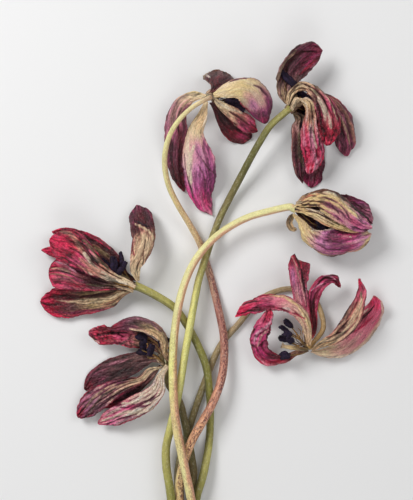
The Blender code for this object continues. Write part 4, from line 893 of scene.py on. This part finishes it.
# closed tubes in one piece, their ends drawn in to a darker point; each tube is rings, flow, tint and spots
def tubeObject(name, tubes, material, endShade=0.6):
    shape, places, flows, tints, marks = bmesh.new(), [], [], [], []
    for rings, flow, tint, spots in tubes:
        count, sides = rings.shape[:2]
        rows = [[shape.verts.new((0, 0, 0)) for _ in range(sides)] for _ in range(count)]
        ends = [shape.verts.new((0, 0, 0)), shape.verts.new((0, 0, 0))]
        for a, b in zip(rows, rows[1:]):
            for k in range(sides):
                shape.faces.new((a[k], a[(k + 1) % sides], b[(k + 1) % sides], b[k]))
        for k in range(sides):
            shape.faces.new((ends[0], rows[0][(k + 1) % sides], rows[0][k]))
            shape.faces.new((ends[1], rows[-1][k], rows[-1][(k + 1) % sides]))
        places += [rings.reshape(-1, 3), rings[:1].mean(1), rings[-1:].mean(1)]
        flows += [flow.reshape(-1, 3), flow[0, :1], flow[-1, :1]]
        tints += [tint, tint[:1] * endShade, tint[-1:] * endShade]
        marks += [spots.ravel(), [0, 0]]
    return paintedObject(name, shape, *[np.concatenate(parts) for parts in (places, flows, tints, marks)], material)


# tones run from the flower down to the cut end; sideHue is a darker hue on the side that sideWay points to, partly
# the stem's own colour there and partly painted shade along that side; widths and spots are given by share of the
# length
stems = dict(
    a=dict(
        tones="sand lemon lemon butter sand clay salmon salmon peach butter peach sand", lift=1.14, sideHue="salmon",
        sideWay=(1, 0, 0), sideShare=0.3, widths=[(0, 0.6), (0.05, 0.85), (0.3, 1.0), (0.5, 1.2), (1, 1.16)],
        spots=[(0, 0.1), (0.3, 0.4), (0.45, 1), (0.8, 1), (1, 0.7)]),
    b=dict(
        tones="pear moss khaki pear lime lime pear green moss", lift=1.1, sideHue="moss", sideWay=(1, 0, 0),
        sideShare=0.35, widths=[(0, 1.2), (0.02, 1.05), (0.05, 0.82), (0.35, 0.84), (0.6, 0.88), (1, 0.95)],
        spots=[(0, 0.1), (1, 0.1)]),
    c=dict(
        tones="lemon lemon lemon lemon lime butter lemon butter lemon", lift=1.25, sideHue="salmon",
        sideWay=(1, -0.3, 0), sideShare=0.8,
        widths=[(0, 1.0), (0.03, 0.82), (0.25, 0.82), (0.4, 0.88), (0.6, 0.95), (1, 1)],
        spots=[(0, 0), (0.35, 0.15), (0.55, 0.5), (1, 0.35)]),
    d=dict(
        tones="pear pear green green pear green pear", lift=1.08, sideHue="moss", sideWay=(-1, 0, 0), sideShare=0.5,
        widths=[(0, 1.15), (0.04, 0.92), (0.3, 0.9), (1, 0.97)], spots=[(0, 0.1), (1, 0.1)]),
    e=dict(
        tones="ochre straw straw straw khaki khaki khaki moss", lift=1.1, sideHue="khaki", sideWay=(1, 0, 0),
        sideShare=0.35, widths=[(0, 0.8), (0.05, 1), (1, 1)], spots=[(0, 0.2), (1, 0.2)]),
    f=dict(
        tones="khaki khaki moss khaki moss moss", lift=1.05, sideHue="olive", sideWay=(1, 0, 0), sideShare=0.3,
        widths=[(0, 1), (1, 1)], spots=[(0, 0.2), (1, 0.2)]))
stemSkin = dict(
    veinSpacing=0.7, veinStrength=0.3, veinTint=(0.8, 0.66, 0.5), crinkleSize=0.7, mottle=0.35, bump=0.4,
    netStrength=0.15, netDepth=0.2, freckleSize=1.0, freckleAmount=0.8, freckleStrength=0.95, freckleColour="wine",
    fleckGlintSize=1.2, fleckGlintAmount=0.4, fleckGlintStrength=0.35, fleckGlintColour="white")
stemShape = dict(corners=8, rings=380, sides=20, lowest=0.12, wrinkles=0.045, dents=0.03, ribs=0.035)
for letter, look in stems.items():
    seed = ord(letter) * 3
    rows = ringMiddles("stem_" + letter, stemShape["corners"], placed(tips[letter]))
    line = readLine(rows, stemShape["rings"])
    radius = line[:, 3] * np.interp(np.linspace(0, 1, stemShape["rings"]), *zip(*look["widths"]))

    def shrivel(share, along, turn):
        wide = 1 + stemShape["wrinkles"] * rough(along / 26, 3 + 2.2 * np.cos(turn), seed, 3)
        wide = wide + stemShape["dents"] * rough(along / 3.5, 3 * np.sin(turn + 0.4), seed + 5, 2)
        return wide + stemShape["ribs"] * np.cos(5 * turn + 2 * waver(along / 40, 0, seed + 9))

    rings, along, turn, outward = ringsAround(line[:, :3], radius, stemShape["sides"], shrivel)
    rings[:, :, 2] = np.maximum(rings[:, :, 2], stemShape["lowest"])
    share = along / along[-1]
    streak = rough(along / 22, 2 * np.cos(turn) + 3, seed + 1, 3)
    streak = streak + 0.5 * rough(along / 6, 3 * np.sin(turn), seed + 2, 2)
    lean = outward @ (np.array(look["sideWay"]) / np.linalg.norm(look["sideWay"])) + 0.5 * streak
    tint = paintTones(look["tones"], (share + 0.05 * streak).ravel())
    # a darker hue along one side: partly the stem's own colour, partly painted shade
    tint = paintMix(tint, look["sideHue"], look["sideShare"] * ease(-0.1, 0.6, lean.ravel()))
    grain = rough(along / 1.6, 4 * np.cos(turn), seed + 6, 2)
    tint = keepHue(tint * (look["lift"] + 0.10 * streak + 0.10 * grain).reshape(-1, 1))
    spread = rough(along / 5, 2 * np.cos(turn) + 9, seed + 7, 2) + 0.3 * lean
    spots = np.interp(share, *zip(*look["spots"])) * ease(-0.7, 0.3, spread)
    tube = rings, tubeFlow(along, turn, 2.3, seed), tint, spots
    piece = tubeObject("stem-" + letter, [tube], skinMaterial("stem skin " + letter, stemSkin))
    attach(piece, "root")
    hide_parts("stem_" + letter)
print("stems made")

# three-lobed seed case with a crumpled stigma on top
pistilShape = dict(corners=6, rings=44, sides=30, lobes=0.09, frillLobes=0.22, lumps=0.06, frillTeeth=0.12)
pistilMaterial = skinMaterial("dry seed case", dict(roughness=0.55, veinSpacing=0.5, bump=0.3))
pistilTones = dict(
    a="olive khaki straw", b="tan straw sand", c="olive khaki straw", d="olive khaki straw",
    e="khaki straw butter cream", f="olive khaki straw")
for letter, tones in pistilTones.items():
    seed = ord(letter) * 5
    rows = ringMiddles("pistil_" + letter, pistilShape["corners"], placed(tips[letter]))
    line = readLine(rows, pistilShape["rings"])

    def lobes(share, along, turn):
        frill = ease(0.8, 0.98, share)
        wide = 1 + (pistilShape["lobes"] + pistilShape["frillLobes"] * frill) * np.cos(3 * turn + 0.5)
        wide = wide + pistilShape["lumps"] * rough(along / 1.2, 3 * np.cos(turn), seed)
        return wide + pistilShape["frillTeeth"] * frill * np.cos(9 * turn)

    rings, along, turn = ringsAround(line[:, :3], line[:, 3], pistilShape["sides"], lobes)[:3]
    shade = 1 + 0.15 * rough(along / 2, 2 * np.cos(turn), seed + 4)
    tint = paintTones(tones, (along / along[-1]).ravel()) * shade.reshape(-1, 1)
    tube = rings, tubeFlow(along, turn, 2.0, seed), tint, np.ones(along.shape)
    piece = tubeObject("pistil-" + letter, [tube], pistilMaterial)
    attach(piece, "root")
    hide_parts("pistil_" + letter)
print("pistils made")

# podOutline is an anther's width by share of its length; lead is how far it starts before its first wide ring
stamenShape = dict(
    corners=6, rings=64, sides=16, podOutline=[(0, 0.3), (0.06, 0.55), (0.25, 0.95), (0.5, 1.1), (0.8, 0.8), (1, 0.25)],
    lead=0.06, threadWidth=0.7, podWidth=1.45, podHeight=0.75, split=0.16, lumps=0.24, sway=0.35)
threadShape = dict(rings=24, sides=8, thinEnd=0.5, lumps=0.15)


# a thread and a broad flat anther, split and shrivelled, from rows of x, y, z, radius
def stamenTube(rows, seed):
    radii, last, count, sides = rows[:, 3], len(rows) - 1, stamenShape["rings"], stamenShape["sides"]
    at, share = np.linspace(0, last, count), np.linspace(0, 1, count)
    start = next(i for i, r in enumerate(radii) if r > 2 * radii[0]) / last - stamenShape["lead"]
    pod = np.clip((share - start) / (1 - start), 0, 1)
    outline = np.interp(pod, *zip(*stamenShape["podOutline"]))
    radius = np.where(pod > 0, radii.max() * outline, radii[0] * stamenShape["threadWidth"])
    bend = np.stack([waver(at * 2.2, 0 * at, seed + 1), waver(at * 2.2, 0 * at, seed + 2), 0 * at], -1)
    middle = readLine(rows[:, :3], count) + bend * stamenShape["sway"] * (pod > 0)[:, None]

    def pods(share, along, turn):
        flat = np.hypot(stamenShape["podWidth"] * np.cos(turn), stamenShape["podHeight"] * np.sin(turn))
        flat = flat - stamenShape["split"] * np.abs(np.sin(turn)) ** 6
        flat = flat + stamenShape["lumps"] * rough(along / 1.1, 2.5 * np.cos(turn), seed, 2)
        return np.where(share > start, flat, 1)

    rings, along, turn = ringsAround(middle, radius, sides, pods)[:3]
    tint = paintTones("straw ochre olive", np.repeat(at / last, sides) / start)
    tint = paintMix(tint, "indigo", np.repeat(ease(-0.02, 0.04, share - start), sides))
    tint = tint * (1 + 0.5 * rough(along / 0.9, 3 * np.cos(turn), seed + 8)).reshape(-1, 1)
    return rings, tubeFlow(along, turn, 1.4, seed), tint, np.ones(along.shape)


# a thin withered thread between points
def threadTube(points, radius, hue, seed):
    def withered(share, along, turn):
        return 1 + threadShape["lumps"] * waver(along / 0.8, 2 * np.cos(turn), seed)

    radii = np.linspace(1, threadShape["thinEnd"], threadShape["rings"]) * radius
    line = readLine(points, threadShape["rings"])
    rings, along, turn = ringsAround(line, radii, threadShape["sides"], withered)[:3]
    tint = tone(hue) * (1 + 0.25 * waver(along / 1.2, 0 * along, seed + 3)).reshape(-1, 1)
    return rings, tubeFlow(along, turn, 0, seed), tint, np.ones(along.shape)


antherMaterial = skinMaterial("dry stamens", dict(
    roughness=0.8, specular=0.2, mottle=0.8, crinkleSize=0.5, bump=0.4, veinTint=(0.6, 0.6, 0.8), freckleAmount=0.5,
    freckleSize=0.5, freckleColour="dusk", fleckGlintStrength=0.25, fleckGlintColour="mauve"))
# stamens where the frame has none of its own: two points of the thread and both ends of the anther, as x, y, height
loose = dict(
    a=[(1, 112, 19, 5, 110, 16, 7.5, 110.6, 14, 17.8, 106.2, 13), (1, 112, 18, 5, 114, 10, 9, 117, 8, 15, 118, 7),
       (1, 112, 18, 5, 111, 10, 9, 114, 7, 16, 114, 6), (1, 112, 17, 6, 110, 11, 10, 117, 8, 18, 117, 5),
       (1, 112, 17, 4, 113, 10, 12, 111, 8, 20, 110, 5), (0, 112, 17, 4, 112, 10, 10, 112, 5, 18, 113, 4)],
    b=[(42, 109, 15, 39, 116, 15, 37.5, 125.5, 16.5, 44.5, 118, 16),
       (42, 109, 14, 41, 114, 14, 43.6, 116.3, 14.5, 53.0, 111.2, 14),
       (43, 108, 14, 47, 107, 11, 49, 106, 10, 54, 101, 8), (43, 108, 12, 48, 110, 8, 50, 110, 7, 57, 107, 6),
       (43, 108, 14, 46, 103, 11, 47, 101, 10, 49, 94, 8), (43, 109, 13, 48, 117, 9, 50, 118, 8, 56, 116, 7)],
    c=[(46, 54, 14, 52, 53, 14, 55, 52.5, 14, 62, 51, 13), (46, 54, 13, 53, 50, 12, 55, 49, 12, 62, 46, 12),
       (46, 53, 14, 54, 54, 12, 57, 54, 12, 64, 52, 12), (46, 53, 12, 53, 47, 11, 56, 46, 11, 63, 44, 11),
       (46, 54, 12, 54, 56, 11, 57, 56, 11, 64, 54, 11), (46, 53, 13, 54, 50, 13, 57, 49.5, 13, 65, 48, 13)],
    d=[(-42, 15, 12, -47, 18, 14, -49, 20, 14.5, -44.5, 27, 14.5),
       (-42, 15, 12, -49, 19, 13, -51, 21, 13.5, -51.5, 29.5, 13.5),
       (-43, 15, 12, -50, 21, 12, -53, 22, 12, -58, 28, 11), (-43, 15, 11, -50, 17, 10, -53, 18, 10, -60, 22, 10),
       (-42, 16, 11, -46, 22, 11, -47, 24, 11, -48, 32, 10), (-43, 15, 12, -51, 19, 11.5, -54, 20, 11, -61, 25, 10)])
# shares of the anther's length where its four points lie; radii at the thread's two points and at those four
looseAnther = dict(shares=(0, 0.16, 0.8, 1), radii=(0.45, 0.42, 1.45, 1.45, 1.45, 0.6))
# withered threads and the knobs where petals meet the stem: (hue, radius, then the bends as x, y, height)
threads = dict(
    a=[("cream", 2.0, -3.4, 113, 18.6, -0.4, 112.4, 19.2, 2.8, 112, 18.4),
       ("sand", 2.1, -1.2, 116, 16.6, 0.6, 112.6, 17.6, 1.8, 108.6, 16.6)],
    # flower b's two thick dark knobs fill the gaps between its petals; their dark colour is painted shade
    b=[("dusk", 3.2, 40.5, 110.5, 9.5, 43.4, 113, 10, 46.5, 110.5, 9.5),
       ("maroon", 2.6, 43, 105.5, 9, 47.2, 108, 9.5, 50.5, 106, 9),
       ("ochre", 1.1, 39.8, 105.6, 15.5, 42.6, 108.8, 16.5, 46.6, 112.8, 15.5),
       ("tan", 1.1, 41.2, 104.8, 15.5, 44.2, 107.2, 16, 48.2, 110, 15),
       ("straw", 1.1, 38.9, 107, 15, 41.4, 110.4, 15.8, 44.6, 114.2, 15)],
    d=[("tan", 1.9, -39, 13.6, 10, -42, 15.2, 10.5, -44.5, 16.4, 9.5),
       ("ochre", 0.5, -41, 12.5, 12.5, -45, 14.5, 13.5, -49, 15.2, 13, -52, 17, 13.5),
       ("brown", 0.5, -41, 16, 12, -44, 17.6, 13, -48.5, 17.8, 13.5, -50.5, 19.4, 13)],
    e=[("tan", 1.7, 48.6, -18.9, 7, 51, -18.4, 8, 53, -18.6, 7),
       ("ochre", 0.28, 48.5, -17, 9, 46, -14, 10, 44.5, -11, 11, 43.0, -8.5, 10),
       ("ochre", 0.28, 48.5, -17, 9, 46.5, -13, 10, 46.8, -10, 11, 45.4, -8, 11),
       ("tan", 0.28, 48, -17, 9, 44.5, -16, 9, 42.5, -14.5, 10, 41.5, -12, 10),
       ("ochre", 0.28, 48, -17.5, 8, 44, -17, 8, 41, -15.5, 8, 39.6, -13, 8),
       ("ochre", 0.28, 48.5, -16.5, 10, 47.5, -12, 11, 48.2, -8.5, 11),
       ("tan", 0.28, 48, -17, 9, 45, -14.8, 10, 44.2, -12.5, 10, 45, -10.2, 10)],
    f=[("ochre", 0.4, -24.5, -27, 9, -28, -24, 10, -32, -21, 11, -34, -16, 11),
       ("sand", 0.7, -24.5, -28, 9, -27.5, -26, 10.5, -30, -23, 10),
       ("cream", 0.7, -24, -27, 9, -26, -22, 10, -28, -19, 10)])
for letter, tip in tips.items():
    tubes = [threadTube(placedAll(bends), radius, hue, k * 5 + 2)
             for k, (hue, radius, *bends) in enumerate(threads.get(letter, ()))]
    names = ["stamen_" + letter + str(k) for k in range(1, 7)]
    for k, name in enumerate(names):
        if letter in loose:
            *thread, low, high = placedAll(loose[letter][k])
            points = thread + [low + (high - low) * share for share in looseAnther["shares"]]
            rows = np.column_stack([points, looseAnther["radii"]])
        else:
            rows = ringMiddles(name, stamenShape["corners"], placed(tip))
        tubes.append(stamenTube(rows, ord(letter) * 11 + k * 3))
    piece = tubeObject("stamens-" + letter, tubes, antherMaterial)
    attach(piece, "root")
    if letter not in loose:
        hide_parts(*names)
print("stamens made")

# floor, camera and lamps, in metres; a lamp is its place, size and share of the power
stage = dict(
    floorHalf=1.4, floorTint=0.85, floorRoughness=0.8, lens=120, sensor=36, viewHalf=0.13123, viewHeight=0.012,
    viewCentre=(-0.0026, 0.0320), lampPower=4.75, lampTarget=(0, 0.03, 0), skyStrength=0.3,
    lamps=[((-0.55, 0.5, 0.75), 0.4, 1.45), ((0.6, 0.3, 0.9), 0.6, 0.4), ((0.0, -0.7, 0.8), 0.6, 0.35)])
floorShape = bmesh.new()
bmesh.ops.create_grid(floorShape, x_segments=1, y_segments=1, size=stage["floorHalf"])
floorMesh = bpy.data.meshes.new("floor")
floorShape.to_mesh(floorMesh)
floorShape.free()
floorPaint = bpy.data.materials.new("pale floor")
floorPaint.use_nodes = True
floorShader = floorPaint.node_tree.nodes["Principled BSDF"].inputs
floorShader["Base Color"].default_value = (*[stage["floorTint"]] * 3, 1)
floorShader["Roughness"].default_value = stage["floorRoughness"]
floorMesh.materials.append(floorPaint)
floor = addObject("floor", floorMesh)

cameraData = bpy.data.cameras.new("camera")
cameraData.lens, cameraData.sensor_width = stage["lens"], stage["sensor"]
camera = addObject("camera", cameraData)
camera.location = (*stage["viewCentre"], stage["viewHeight"] + stage["viewHalf"] * 2 * stage["lens"] / stage["sensor"])
bpy.context.scene.camera = camera

for place, size, share in stage["lamps"]:
    lampData = bpy.data.lights.new("soft lamp", "AREA")
    lampData.size, lampData.energy = size, stage["lampPower"] * share
    lamp = addObject("soft lamp", lampData)
    lamp.location = place
    lamp.rotation_euler = (Vector(stage["lampTarget"]) - Vector(place)).to_track_quat("-Z", "Y").to_euler()
world = bpy.data.worlds.new("studio")
world.use_nodes = True
world.node_tree.nodes["Background"].inputs["Color"].default_value = (1, 1, 1, 1)
world.node_tree.nodes["Background"].inputs["Strength"].default_value = stage["skyStrength"]
bpy.context.scene.world = world
bpy.context.scene.view_settings.view_transform = "Standard"

print("stage set")
